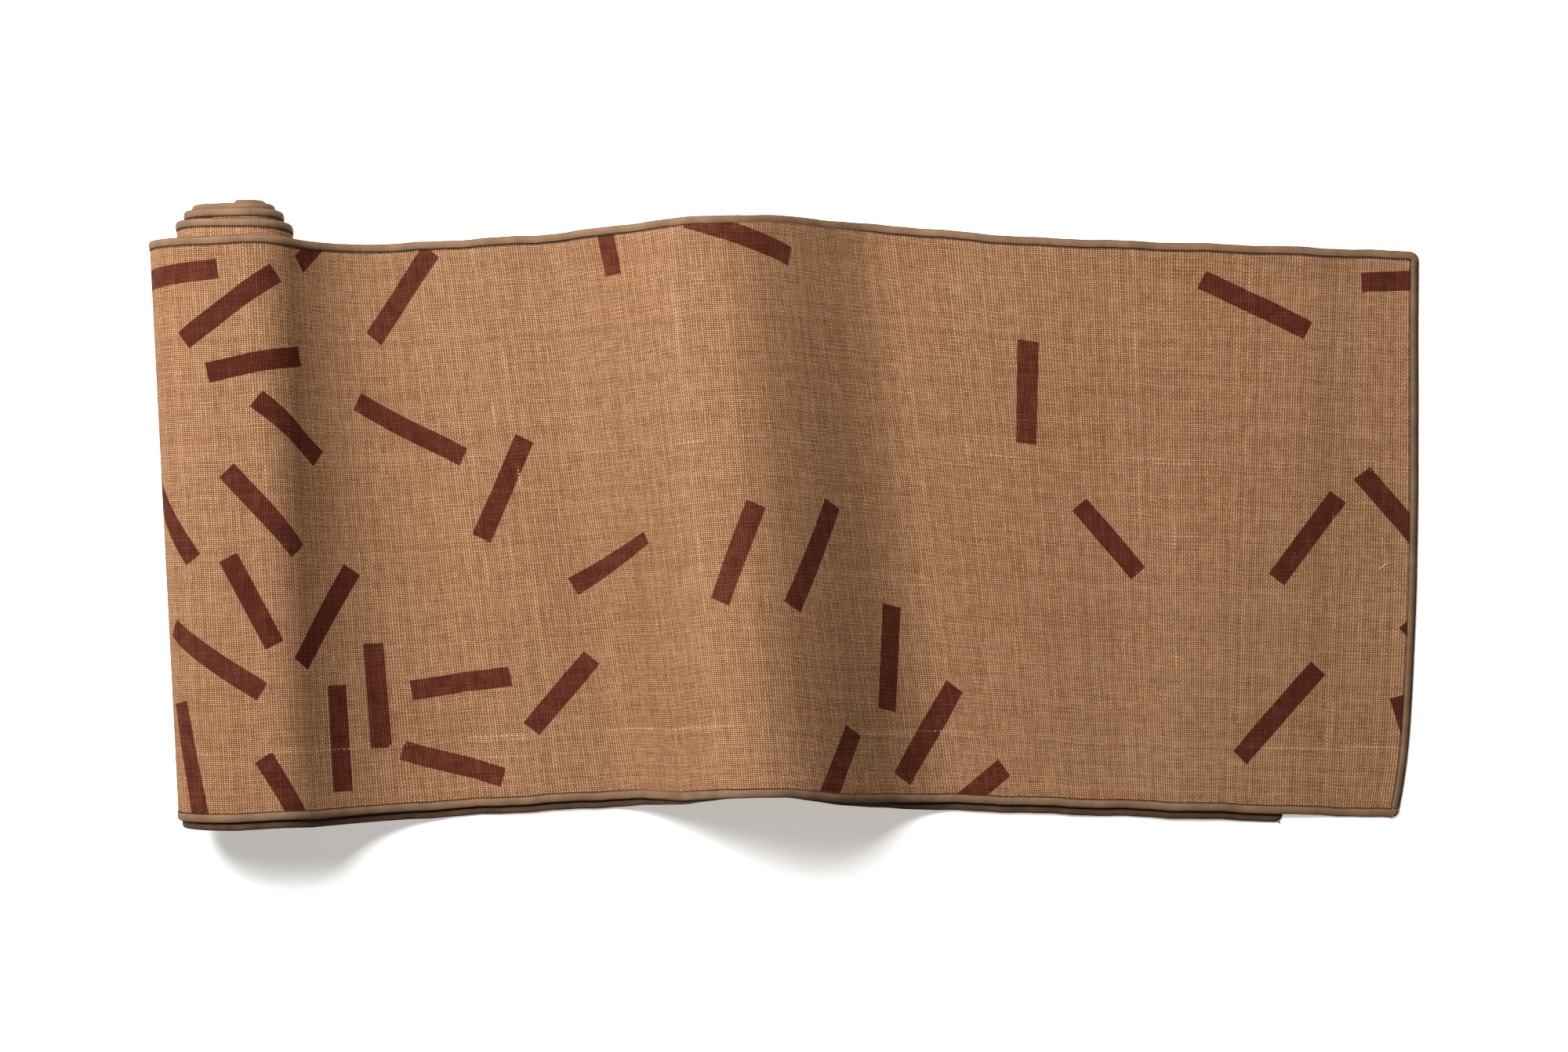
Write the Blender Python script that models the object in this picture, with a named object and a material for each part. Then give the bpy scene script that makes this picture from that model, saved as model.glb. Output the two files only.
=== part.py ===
"""A linen table runner, folded double and rolled from the fold, with its two free ends laid flat.

One long cloth is folded across its middle, so that it lies as a top layer on a bottom layer. The
fold is wound into an oval roll at the left, the doubled cloth comes off the top of the roll, runs
over one soft wave and ends at the right, where the top layer reaches past the bottom one. All four
edges carry a three-thread overlock seam: an upper looper thread on the face, a lower looper thread
on the back and a needle thread along their inner side.

Metres. +X runs along the runner from the roll to the ends, +Y runs across it to the far edge and
+Z is up. The origin is the middle of the footprint, on the surface that the runner lies on.
"""

import math
from collections import namedtuple

import bmesh
import bpy
from mathutils import Vector

# The cloth, laid flat
RUNNER_WIDTH = 0.356  # over both side seams
RUNNER_LENGTH = 2.743  # over both end seams
CLOTH_THICKNESS = 0.0009

# The overlock seam
SEAM_WIDTH = 0.0042  # of the looper threads on one face
NEEDLE_WIDTH = 0.0011
LOOPER_THICKNESS = 0.00035
NEEDLE_THICKNESS = 0.00035
SEAM_WRAP = 0.0009  # how far the loopers reach past the cut edge
MESH_GAP = 0.0003  # between two pieces that touch
LAYER_CLEARANCE = 0.0004  # between the seams of two layers
TAIL_LENGTH = 0.0060
TAIL_THICKNESS = 0.0012

# How the runner is laid out
LAID_LENGTH = 0.7250  # from the middle of the roll to the top layer's end
END_OVERHANG = 0.0760  # of the top layer past the bottom layer
END_STEP_RUN = 0.0180  # over which the top layer comes down to the surface
END_STEP_START = 0.0030
LEFT_YAW = math.radians(3.4)  # heading of the roll's part of the strip
RIGHT_YAW = math.radians(-2.0)  # heading of the ends' part
BEND_PLACE = 0.2775  # from the middle of the roll to where the heading changes
BEND_HALF_RUN = 0.0900
EDGE_LIFT_RUN = 0.0200  # the cloth rises to its seams over this width

# The roll
ROLL_FLAT = 0.0200  # straight part of each turn, between its half circles
ROLL_CORE_RADIUS = 0.0070  # of the innermost half turn
LOOP_SLACK = 0.0120  # of the outermost turn, on its left side
ROLL_LEAVES_FIRST = 0.0028  # sideways shift where the strip reaches the roll's top
ROLL_LEAVES_ALL = 0.0279  # more of it, if the roll had turns without end
ROLL_LEAVES_RATIO = 0.57  # of one turn's shift to that of the turn outside it
LAYER_SLIP = 0.0050  # sideways, of the bottom layer under the top layer

# Fineness of the curves
HALF_TURN_STEPS = 6
SHORTEST_STEP = 0.3  # of a whole one, at the fold
ARC_SHARE = 0.75  # of each half turn in which its half circle is wound, before its straight part
WAVE_STEPS = 14
DESCENT_STEPS = 4
FOLD_STEPS = 4
END_SEAM_STEPS = 4
TAIL_STEPS = 4

# One side edge: its own wave, its own way down from the roll, and how far it sways to the far side
Side = namedtuple(
    "Side",
    "sign crest_place crest_height wave_left wave_right descent_angle sway sway_place sway_reach",
)
FAR = Side(1, 0.287, 0.044, 0.105, 0.100, math.radians(62), 0.0048, 0.368, 0.125)
NEAR = Side(-1, 0.320, 0.070, 0.110, 0.125, math.radians(52), 0.0042, 0.326, 0.070)

# Worked out from the sizes above
SEAM_HEIGHT = MESH_GAP + LOOPER_THICKNESS
LAYER_PITCH = CLOTH_THICKNESS + 2 * SEAM_HEIGHT + LAYER_CLEARANCE
HALF_LAYER = CLOTH_THICKNESS / 2 + SEAM_HEIGHT
PAIR_REST = HALF_LAYER + LAYER_PITCH / 2  # height of the pair's middle on the surface
CLOTH_HALF_WIDTH = RUNNER_WIDTH / 2 - SEAM_WRAP
TOP_END = LAID_LENGTH - SEAM_WRAP
BOTTOM_END = TOP_END - END_OVERHANG

LINEN = ("linen_cloth", (0.36, 0.19, 0.085), 0.90)
LOOPER = ("looper_thread", (0.19, 0.12, 0.075), 0.62)
NEEDLE = ("needle_thread", (0.10, 0.055, 0.032), 0.70)

Frame = namedtuple("Frame", "origin out up")
Row = namedtuple("Row", "far near far_up near_up sag")


def clear_scene():
    for thing in list(bpy.data.objects):
        bpy.data.objects.remove(thing, do_unlink=True)


def material(name, colour, roughness):
    """The named Principled material, made once."""
    made = bpy.data.materials.get(name)
    if made:
        return made
    made = bpy.data.materials.new(name)
    made.use_nodes = True
    shader = made.node_tree.nodes["Principled BSDF"]
    shader.inputs["Base Color"].default_value = (*colour, 1.0)
    shader.inputs["Roughness"].default_value = roughness
    shader.inputs["Metallic"].default_value = 0.0
    return made


def smoothstep(share):
    share = min(1.0, max(0.0, share))
    return share * share * (3 - 2 * share)


def heading(place):
    """The strip's heading at a distance from the roll's middle."""
    turned = smoothstep((place - BEND_PLACE + BEND_HALF_RUN) / (2 * BEND_HALF_RUN))
    return LEFT_YAW + (RIGHT_YAW - LEFT_YAW) * turned


def centre(place):
    """(x, y) of the strip's centre line, from the roll's middle."""
    if place <= BEND_PLACE - BEND_HALF_RUN:
        return Vector((math.cos(LEFT_YAW), math.sin(LEFT_YAW))) * place
    steps = 24
    start = BEND_PLACE - BEND_HALF_RUN
    point = centre(start)
    run = min(place, BEND_PLACE + BEND_HALF_RUN) - start
    for step in range(steps):
        angle = heading(start + run * (step + 0.5) / steps)
        point += Vector((math.cos(angle), math.sin(angle))) * run / steps
    rest = place - start - run
    return point + Vector((math.cos(RIGHT_YAW), math.sin(RIGHT_YAW))) * rest


def wave_height(share):
    """A soft wave's height as a share of its crest, at -1 to 1 of its width."""
    return (1 + math.cos(math.pi * share)) / 2


def wave_points(side):
    """(place, height, slip share) over the wave, from its right foot to its left foot."""
    points = []
    for step in range(WAVE_STEPS + 1):
        share = 1 - 2 * step / WAVE_STEPS
        reach = side.wave_right if share > 0 else side.wave_left
        up = wave_height(share)
        place = side.crest_place + share * reach
        points.append((place, PAIR_REST + side.crest_height * up, 1 - up))
    return points


def descent_points(side, outer_radius):
    """(place, height) from the foot of the slope up to the roll's top, over a hollow and a round arc."""
    top = PAIR_REST + 2 * outer_radius
    over_radius = outer_radius + LAYER_PITCH
    bend = 1 - math.cos(side.descent_angle)
    foot_radius = 2 * outer_radius / bend - over_radius
    foot = ROLL_FLAT / 2 + (over_radius + foot_radius) * math.sin(side.descent_angle)
    points = []
    for step in range(DESCENT_STEPS + 1):
        angle = side.descent_angle * step / DESCENT_STEPS
        fallen = 1 - math.cos(angle)
        points.append((foot - foot_radius * math.sin(angle), PAIR_REST + foot_radius * fallen))
    for step in range(DESCENT_STEPS - 1, -1, -1):
        angle = side.descent_angle * step / DESCENT_STEPS
        across = ROLL_FLAT / 2 + over_radius * math.sin(angle)
        points.append((across, top - over_radius * (1 - math.cos(angle))))
    return points


def roll_points(half_turns):
    """(place, height, turns made) round the roll, from the left end of its top to the fold."""
    radius = ROLL_CORE_RADIUS + half_turns * LAYER_PITCH
    height = PAIR_REST + 2 * radius
    points = []
    for half_turn in range(math.ceil(half_turns)):
        share = min(1.0, half_turns - half_turn)
        sign = -1 if half_turn % 2 == 0 else 1
        reach = radius + (LOOP_SLACK if half_turn == 0 else 0.0)
        arc_steps = HALF_TURN_STEPS * min(1.0, share / ARC_SHARE)
        whole_steps = math.ceil(arc_steps - SHORTEST_STEP)
        for step in [*range(whole_steps), arc_steps] if whole_steps > 0 else [0]:
            angle = math.pi * step / HALF_TURN_STEPS
            place = sign * (ROLL_FLAT / 2 + reach * math.sin(angle))
            drop = radius * (1 - math.cos(angle))
            turned = (half_turn + ARC_SHARE * step / HALF_TURN_STEPS) / 2
            points.append((place, height + sign * drop, turned))
        height += sign * 2 * radius
        straight_steps = HALF_TURN_STEPS * (share - ARC_SHARE) / (1 - ARC_SHARE)
        if share < 1.0 and straight_steps > SHORTEST_STEP:
            place = sign * ROLL_FLAT * (0.5 - straight_steps / HALF_TURN_STEPS)
            points.append((place, height, (half_turn + share) / 2))
        radius -= LAYER_PITCH
    return points


def sideways(turned):
    """How far the cloth has left the strip's line towards the far side, after some turns of the roll."""
    return ROLL_LEAVES_FIRST + ROLL_LEAVES_ALL * (1 - ROLL_LEAVES_RATIO**turned)


def normals(points):
    """Unit normals of an open line of (place, height), lengthened at each bend to keep a thickness."""
    found = []
    for index in range(len(points)):
        before = Vector(points[max(index - 1, 0)][:2])
        here = Vector(points[index][:2])
        after = Vector(points[min(index + 1, len(points) - 1)][:2])
        ahead = (after - here).normalized() if index < len(points) - 1 else (here - before).normalized()
        behind = (here - before).normalized() if index else ahead
        along = (ahead + behind).normalized()
        normal = Vector((along.y, -along.x))
        found.append(normal / max(along.dot(ahead), 0.5))
    return found


def pair_line(side, half_turns):
    """(place, height, sideways shift, slip share) of the pair's middle line, from the bottom layer's
    end to the fold."""
    outer_radius = ROLL_CORE_RADIUS + half_turns * LAYER_PITCH
    line = [(place, PAIR_REST, 0.0, 1.0) for place in (BOTTOM_END, BOTTOM_END - EDGE_LIFT_RUN)]
    line += [(place, height, 0.0, slip) for place, height, slip in wave_points(side)]
    descent = descent_points(side, outer_radius)
    for index, (place, height) in enumerate(descent):
        shift = ROLL_LEAVES_FIRST * smoothstep(index / (len(descent) - 1))
        line.append((place, height, shift, 1.0))
    for place, height, turned in roll_points(half_turns):
        line.append((place, height, sideways(turned), 1 - 2 * turned / half_turns))
    return line


def side_point(side, place, height, shift, width=CLOTH_HALF_WIDTH):
    """The world point on one side of the strip."""
    angle = heading(place)
    middle = centre(place)
    swayed = min(1.0, max(-1.0, (place - side.sway_place) / side.sway_reach))
    over = side.sign * width + shift + side.sway * wave_height(swayed)
    return Vector((middle.x - over * math.sin(angle), middle.y + over * math.cos(angle), height))


def side_up(place, normal):
    angle = heading(place)
    return Vector((normal.x * math.cos(angle), normal.x * math.sin(angle), normal.y))


def layer_rows(half_turns, layer):
    """The rows of one layer, 1 for the top and -1 for the bottom, from the bottom end to the fold."""
    lines = {side: pair_line(side, half_turns) for side in (FAR, NEAR)}
    ups = {side: normals(lines[side]) for side in lines}
    foot_of_slope = 3 + WAVE_STEPS
    rows = []
    for index in range(len(lines[FAR])):
        ends = []
        for side in (FAR, NEAR):
            place, height, shift, slip = lines[side][index]
            up = side_up(place, ups[side][index])
            moved = shift - (LAYER_SLIP * slip if layer < 0 else 0.0)
            ends.append((side_point(side, place, height, moved) + up * layer * LAYER_PITCH / 2, up))
        sag = 1 - smoothstep((index - foot_of_slope) / (2 * DESCENT_STEPS)) if index else 0.0
        (far, far_up), (near, near_up) = ends
        rows.append(Row(far, near, far_up, near_up, sag))
    return rows


def overhang_rows():
    """The top layer's rows past the bottom layer's end, from its own end."""
    high = HALF_LAYER + LAYER_PITCH
    line = [
        (TOP_END, HALF_LAYER),
        (TOP_END - EDGE_LIFT_RUN, HALF_LAYER),
        (BOTTOM_END + END_STEP_RUN, HALF_LAYER),
        (BOTTOM_END + END_STEP_START, high),
        (BOTTOM_END, high),
    ]
    ups = normals(line)
    rows = []
    for (place, height), normal in list(zip(line, ups))[:-1]:
        up = side_up(place, normal)
        far, near = (side_point(side, place, height, 0.0) for side in (FAR, NEAR))
        rows.append(Row(far, near, up, up, 1.0 if rows else 0.0))
    return rows


def fold_rows(top, bottom):
    """The rows round the fold, between the last rows of the two layers."""
    rows = []
    for step in range(1, FOLD_STEPS):
        angle = math.pi * step / FOLD_STEPS
        ends = []
        for side in ("far", "near"):
            over, under = getattr(top[-1], side), getattr(bottom[-1], side)
            before = getattr(top[-2], side) + getattr(bottom[-2], side)
            middle = (over + under) / 2
            ahead = (middle - before / 2).normalized()
            up = (over - under).normalized()
            ahead = (ahead - up * ahead.dot(up)).normalized()
            spoke = up * math.cos(angle) + ahead * math.sin(angle)
            ends.append((middle + spoke * (over - under).length / 2, spoke))
        (far, far_up), (near, near_up) = ends
        rows.append(Row(far, near, far_up, near_up, 0.0))
    return rows


def turned_over(row):
    return row._replace(far_up=-row.far_up, near_up=-row.near_up, sag=-row.sag)


def cloth_rows(half_turns):
    """Every row of the whole cloth, from the top layer's end round the fold to the bottom layer's end.

    "up" is the printed face, which looks down on the bottom layer."""
    top = layer_rows(half_turns, 1)
    bottom = layer_rows(half_turns, -1)
    fold = fold_rows(top, bottom)
    return overhang_rows() + top + fold + [turned_over(row) for row in reversed(bottom)]


def cloth_length(rows):
    """The cloth's length along its middle."""
    middles = [(row.far + row.near) / 2 for row in rows]
    return sum((b - a).length for a, b in zip(middles, middles[1:]))


def half_turns_of_the_roll():
    """The half turns that take up the whole cloth."""
    wanted = RUNNER_LENGTH - 2 * SEAM_WRAP
    few, many = 1.0, 24.0
    for _ in range(30):
        tried = (few + many) / 2
        if cloth_length(cloth_rows(tried)) < wanted:
            few = tried
        else:
            many = tried
    return (few + many) / 2


def solid(name, rings, finish):
    """One closed body through rings of points, each ring going round the same way."""
    mesh = bmesh.new()
    made = [[mesh.verts.new(point) for point in ring] for ring in rings]
    count = len(rings[0])
    for before, after in zip(made, made[1:]):
        for index in range(count):
            following = (index + 1) % count
            mesh.faces.new((before[index], before[following], after[following], after[index]))
    mesh.faces.new(reversed(made[0]))
    mesh.faces.new(made[-1])
    bmesh.ops.triangulate(mesh, faces=mesh.faces[:])
    bmesh.ops.recalc_face_normals(mesh, faces=mesh.faces[:])
    data = bpy.data.meshes.new(name)
    mesh.to_mesh(data)
    mesh.free()
    data.materials.append(material(*finish))
    data.shade_smooth()
    data.set_sharp_from_angle(angle=math.radians(40))
    thing = bpy.data.objects.new(name, data)
    bpy.context.scene.collection.objects.link(thing)
    return thing


def cloth_panel(rows):
    """The cloth itself: thin, raised to its seams by the height of the threads under them."""
    share = EDGE_LIFT_RUN / (2 * CLOTH_HALF_WIDTH)
    half = CLOTH_THICKNESS / 2
    rings = []
    for row in rows:
        inner_far = row.far.lerp(row.near, share)
        inner_near = row.near.lerp(row.far, share)
        over = []
        under = []
        for point, up, sag in (
            (row.far, row.far_up, 0.0),
            (inner_far, row.far_up, row.sag),
            (inner_near, row.near_up, row.sag),
            (row.near, row.near_up, 0.0),
        ):
            over.append(point + up * (half - SEAM_HEIGHT * sag))
            under.append(point + up * (-half - SEAM_HEIGHT * sag))
        rings.append(over + under[::-1])
    return solid("cloth_panel", rings, LINEN)


def side_frames(rows, name):
    """Frames along one side's cut edge, which reach past both ends by the wrap."""
    frames = []
    for row in rows:
        across = (row.far - row.near).normalized()
        if name == "far":
            frames.append(Frame(row.far, across, row.far_up))
        else:
            frames.append(Frame(row.near, -across, row.near_up))
    for end, inner in ((0, 1), (-1, -2)):
        ahead = (frames[end].origin - frames[inner].origin).normalized()
        frames[end] = frames[end]._replace(origin=frames[end].origin + ahead * SEAM_WRAP)
    return frames


def end_frames(row, beyond):
    """Frames along one end's cut edge, between the two side seams."""
    outwards = (row.far + row.near - beyond.far - beyond.near).normalized()
    clear = SEAM_WIDTH + NEEDLE_WIDTH + 2 * MESH_GAP
    share = clear / (2 * CLOTH_HALF_WIDTH)
    frames = []
    for step in range(END_SEAM_STEPS + 1):
        along = share + (1 - 2 * share) * step / END_SEAM_STEPS
        up = row.far_up.lerp(row.near_up, along)
        frames.append(Frame(row.far.lerp(row.near, along), outwards, up))
    return frames


def looper_ring(frame, face):
    """One face's cover: from the needle line, out over the cut edge and down to its middle."""
    low = CLOTH_THICKNESS / 2 + MESH_GAP
    high = low + LOOPER_THICKNESS
    outline = (
        (-SEAM_WIDTH, low),
        (-SEAM_WIDTH, high),
        (MESH_GAP, high),
        (SEAM_WRAP, MESH_GAP / 2),
        (MESH_GAP, low),
    )
    return [frame.origin + frame.out * out + frame.up * face * up for out, up in outline]


def needle_ring(frame, face):
    """A low ridge along the loopers' inner side."""
    low = CLOTH_THICKNESS / 2 + MESH_GAP
    outer = -SEAM_WIDTH - MESH_GAP
    outline = (
        (outer - NEEDLE_WIDTH, low),
        (outer - NEEDLE_WIDTH / 2, low + NEEDLE_THICKNESS),
        (outer, low),
    )
    return [frame.origin + frame.out * out + frame.up * face * up for out, up in outline]


def seam(place, frames):
    """The three threads of one edge's overlock."""
    made = []
    for thread, ring, face, finish in (
        ("upper_looper", looper_ring, 1, LOOPER),
        ("lower_looper", looper_ring, -1, LOOPER),
        ("needle_thread", needle_ring, 1, NEEDLE),
    ):
        made.append(solid(f"{place}_{thread}", [ring(frame, face) for frame in frames], finish))
    return made


def thread_tail(name, frame, ahead):
    """A short end of chained thread, left at a corner and bent along the side seam's line."""
    half = TAIL_THICKNESS / 2
    start = frame.origin + ahead * MESH_GAP - frame.out * SEAM_WIDTH / 2
    rings = []
    for step in range(TAIL_STEPS + 1):
        share = step / TAIL_STEPS
        middle = start + ahead * TAIL_LENGTH * share + frame.out * SEAM_WIDTH * share**2
        size = half * (1 - 0.5 * share)
        sides = ((-size, -size), (size, -size), (size, size), (-size, size))
        rings.append([middle + frame.out * out + frame.up * up for out, up in sides])
    return solid(name, rings, LOOPER)


def stand_on_origin(parts):
    """Puts the middle of the footprint on the origin, by way of one empty that carries every piece."""
    points = [vertex.co for part in parts for vertex in part.data.vertices]
    low = Vector(min(point[axis] for point in points) for axis in range(3))
    high = Vector(max(point[axis] for point in points) for axis in range(3))
    carrier = bpy.data.objects.new("runner", None)
    bpy.context.scene.collection.objects.link(carrier)
    carrier.location = (-(low.x + high.x) / 2, -(low.y + high.y) / 2, -low.z)
    for part in parts:
        part.parent = carrier


def build_runner():
    clear_scene()
    rows = cloth_rows(half_turns_of_the_roll())
    parts = [cloth_panel(rows)]
    for side in ("far", "near"):
        frames = side_frames(rows, side)
        parts += seam(f"{side}_side", frames)
        for end, here, inner in (("top", 0, 1), ("bottom", -1, -2)):
            ahead = (frames[here].origin - frames[inner].origin).normalized()
            parts.append(thread_tail(f"{end}_{side}_corner_tail", frames[here], ahead))
    parts += seam("top_end", end_frames(rows[0], rows[1]))
    parts += seam("bottom_end", end_frames(rows[-1], rows[-2]))
    stand_on_origin(parts)


build_runner()
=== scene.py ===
"""The looks of a printed linen table runner, folded double and rolled from its fold.

The cloth is one long strip. Its two ends lie flat at the right, both layers run left over one soft
wave, and the fold is wound into an oval roll. This script builds the strip again with fine rows,
prints it, overlocks its four edges and lights it on a pale floor. Metres throughout; +X runs to the
strip's ends, +Y to its far edge and +Z is up.
"""

import logging
import math
from collections.abc import Sequence
from dataclasses import dataclass, field
from enum import Enum

import bpy
import numpy as np
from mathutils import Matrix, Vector

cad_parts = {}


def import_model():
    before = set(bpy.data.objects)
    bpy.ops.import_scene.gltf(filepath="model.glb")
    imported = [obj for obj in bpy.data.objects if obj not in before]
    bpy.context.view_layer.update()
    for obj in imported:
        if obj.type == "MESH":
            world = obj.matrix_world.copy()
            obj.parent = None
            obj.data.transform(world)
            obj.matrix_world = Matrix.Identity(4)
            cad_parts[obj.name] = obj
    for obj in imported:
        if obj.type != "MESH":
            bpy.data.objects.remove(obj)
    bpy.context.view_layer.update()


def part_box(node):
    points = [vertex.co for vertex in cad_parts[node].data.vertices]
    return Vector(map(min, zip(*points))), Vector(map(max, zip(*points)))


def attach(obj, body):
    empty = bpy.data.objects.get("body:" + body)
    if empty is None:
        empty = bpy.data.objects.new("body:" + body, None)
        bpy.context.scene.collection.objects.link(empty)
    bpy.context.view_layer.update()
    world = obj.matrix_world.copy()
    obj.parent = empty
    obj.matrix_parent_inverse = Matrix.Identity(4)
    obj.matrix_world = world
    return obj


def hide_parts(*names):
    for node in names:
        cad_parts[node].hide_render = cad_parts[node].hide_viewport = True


CLOTH_MAP = "cloth_place"  # metres along and across the flat cloth, or along and round a thread
BAKE_MAP = "OFBake"
PRINT_PLACE = "print_place"  # along and beside the nearest printed bar, and half its length
PRINT_INK = "print_ink"

log = logging.getLogger("table_runner")


class Face(Enum):
    """The two faces of the cloth."""

    PRINTED = 1
    BACK = -1
# Names for the runner's finishes.


class Finish(Enum):
    """The material slots that the runner is finished with."""

    LINEN = "linen_cloth"
    LOOPER = "looper_thread"
    NEEDLE = "needle_thread"


def smoothstep(share: float) -> float:
    """A soft step from 0 to 1."""
    share = min(1.0, max(0.0, share))
    return share * share * (3 - 2 * share)


def steps(start: float, end: float, count: int) -> list[float]:
    """Values from start towards end, in even steps, with start and without end."""
    return [start + (end - start) * step / count for step in range(count)]


# ---------------------------------------------------------------- the strip's shape


@dataclass(frozen=True)
class Edge:
    """One long edge of the strip: its own wave, its own way down from the roll, and its sway."""

    sign: int
    crest_place: float
    crest_height: float
    wave_left: float
    wave_right: float
    descent_angle: float
    sway: float
    sway_place: float
    sway_reach: float


FAR = Edge(1, 0.287, 0.044, 0.105, 0.100, math.radians(62), 0.0048, 0.368, 0.125)
NEAR = Edge(-1, 0.320, 0.070, 0.110, 0.125, math.radians(52), 0.0042, 0.326, 0.070)


@dataclass
class Row:
    """One straight line of cloth from the far edge to the near edge.

    Attributes:
        far: The far cut edge, at half the cloth's thickness.
        near: The near cut edge.
        far_up: The printed face's normal at the far edge.
        near_up: The printed face's normal at the near edge.
        place: Distance from the roll's middle along the strip.
        rippled: How much of the flat cloth's ripples the row takes, with its sign by face.
        sag: How far the middle lies below the seams, as a share of their height.
        bow: How much of the end's bow the row takes.
    """

    far: Vector
    near: Vector
    far_up: Vector
    near_up: Vector
    place: float
    rippled: float = 0.0
    sag: float = 0.0
    bow: float = 0.0

    def turned_over(self) -> "Row":
        """The same line, seen from the other face.

        Returns:
            The turned row.
        """
        return Row(
            self.far, self.near, -self.far_up, -self.near_up, self.place, -self.rippled, -self.sag
        )


@dataclass
class Strip:
    """The doubled strip of cloth: its sizes, and the line that it follows from end to end."""

    width: float = 0.356
    length: float = 2.743
    thickness: float = 0.0009
    seam_height: float = 0.00065
    seam_wrap: float = 0.0009
    layer_clearance: float = 0.0004
    laid_length: float = 0.7250
    end_overhang: float = 0.0760
    end_step_run: float = 0.0440
    end_step_start: float = 0.0030
    left_yaw: float = math.radians(3.4)
    right_yaw: float = math.radians(-2.0)
    bend_place: float = 0.2775
    bend_half_run: float = 0.0900
    edge_lift_run: float = 0.0200
    roll_flat: float = 0.0200
    roll_core_radius: float = 0.0070
    loop_slack: float = 0.0120
    roll_leaves_first: float = 0.0028
    roll_leaves_all: float = 0.0279
    roll_leaves_ratio: float = 0.57
    layer_slip: float = 0.0050
    arc_share: float = 0.75  # of a half turn in which its half circle is wound
    corner_radius: float = 0.0045
    end_bow: float = 0.0040
    corner_pull: float = 0.0034
    ripple: float = 0.00035
    edge_wander: float = 0.0003
    edge_flutter: float = 0.0001
    wander_from: float = 0.0600
    wander_run: float = 0.0500
    calm_end_run: float = 0.0600
    calm_foot_run: float = 0.0500
    overhang_steps: int = 14
    corner_steps: int = 6
    flat_steps: int = 54
    wave_steps: int = 60
    valley_steps: int = 26
    descent_steps: int = 9
    arc_steps: int = 16
    straight_steps: int = 4
    fold_steps: int = 8
    rows: list[Row] = field(default_factory=list)
    places: list[float] = field(default_factory=list)

    def __post_init__(self) -> None:
        """Works out the sizes that follow, winds the roll and lays every row."""
        self.layer_pitch = self.thickness + 2 * self.seam_height + self.layer_clearance
        self.half_layer = self.thickness / 2 + self.seam_height
        self.pair_rest = self.half_layer + self.layer_pitch / 2
        self.half_width = self.width / 2 - self.seam_wrap
        self.top_end = self.laid_length - self.seam_wrap
        self.bottom_end = self.top_end - self.end_overhang
        self.half_turns = self.wind()
        self.rows = self.lay(self.half_turns)
        self.places = self.lengths_along(self.rows)

    def heading(self, place: float) -> float:
        """The strip's heading at a distance from the roll's middle."""
        turned = smoothstep((place - self.bend_place + self.bend_half_run) / (2 * self.bend_half_run))
        return self.left_yaw + (self.right_yaw - self.left_yaw) * turned

    def centre(self, place: float) -> Vector:
        """The strip's centre line, from the roll's middle.

        Args:
            place: Distance from the roll's middle along the strip.

        Returns:
            The point.
        """
        start = self.bend_place - self.bend_half_run
        left = Vector((math.cos(self.left_yaw), math.sin(self.left_yaw)))
        if place <= start:
            return left * place
        point = left * start
        run = min(place, self.bend_place + self.bend_half_run) - start
        for middle in steps(0.5, 24.5, 24):
            angle = self.heading(start + run * middle / 24)
            point += Vector((math.cos(angle), math.sin(angle))) * run / 24
        right = Vector((math.cos(self.right_yaw), math.sin(self.right_yaw)))
        return point + right * (place - start - run)

    def wave(self, edge: Edge) -> list[tuple[float, float, float]]:
        """(place, height, slip share) over one edge's wave, from its right foot to its left foot.

        Args:
            edge: The long edge.

        Returns:
            The points, in order.
        """
        points = []
        for share in [*steps(1, -1, self.wave_steps), -1.0]:
            reach = edge.wave_right if share > 0 else edge.wave_left
            up = (1 + math.cos(math.pi * share)) / 2
            place = edge.crest_place + share * reach
            points.append((place, self.pair_rest + edge.crest_height * up, 1 - up))
        return points

    def descent(self, edge: Edge, outer_radius: float) -> list[tuple[float, float]]:
        """(place, height) from the foot of the slope up to the roll's top, over a hollow and an arc.

        Args:
            edge: The long edge.
            outer_radius: The outermost winding's radius.

        Returns:
            The points, in order.
        """
        top = self.pair_rest + 2 * outer_radius
        over_radius = outer_radius + self.layer_pitch
        angle_down = edge.descent_angle
        foot_radius = 2 * outer_radius / (1 - math.cos(angle_down)) - over_radius
        foot = self.roll_flat / 2 + (over_radius + foot_radius) * math.sin(angle_down)
        points = []
        for angle in steps(0, angle_down, self.descent_steps):
            fallen = foot_radius * (1 - math.cos(angle))
            points.append((foot - foot_radius * math.sin(angle), self.pair_rest + fallen))
        for angle in [*steps(angle_down, 0, self.descent_steps), 0.0]:
            across = self.roll_flat / 2 + over_radius * math.sin(angle)
            points.append((across, top - over_radius * (1 - math.cos(angle))))
        return points

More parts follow.
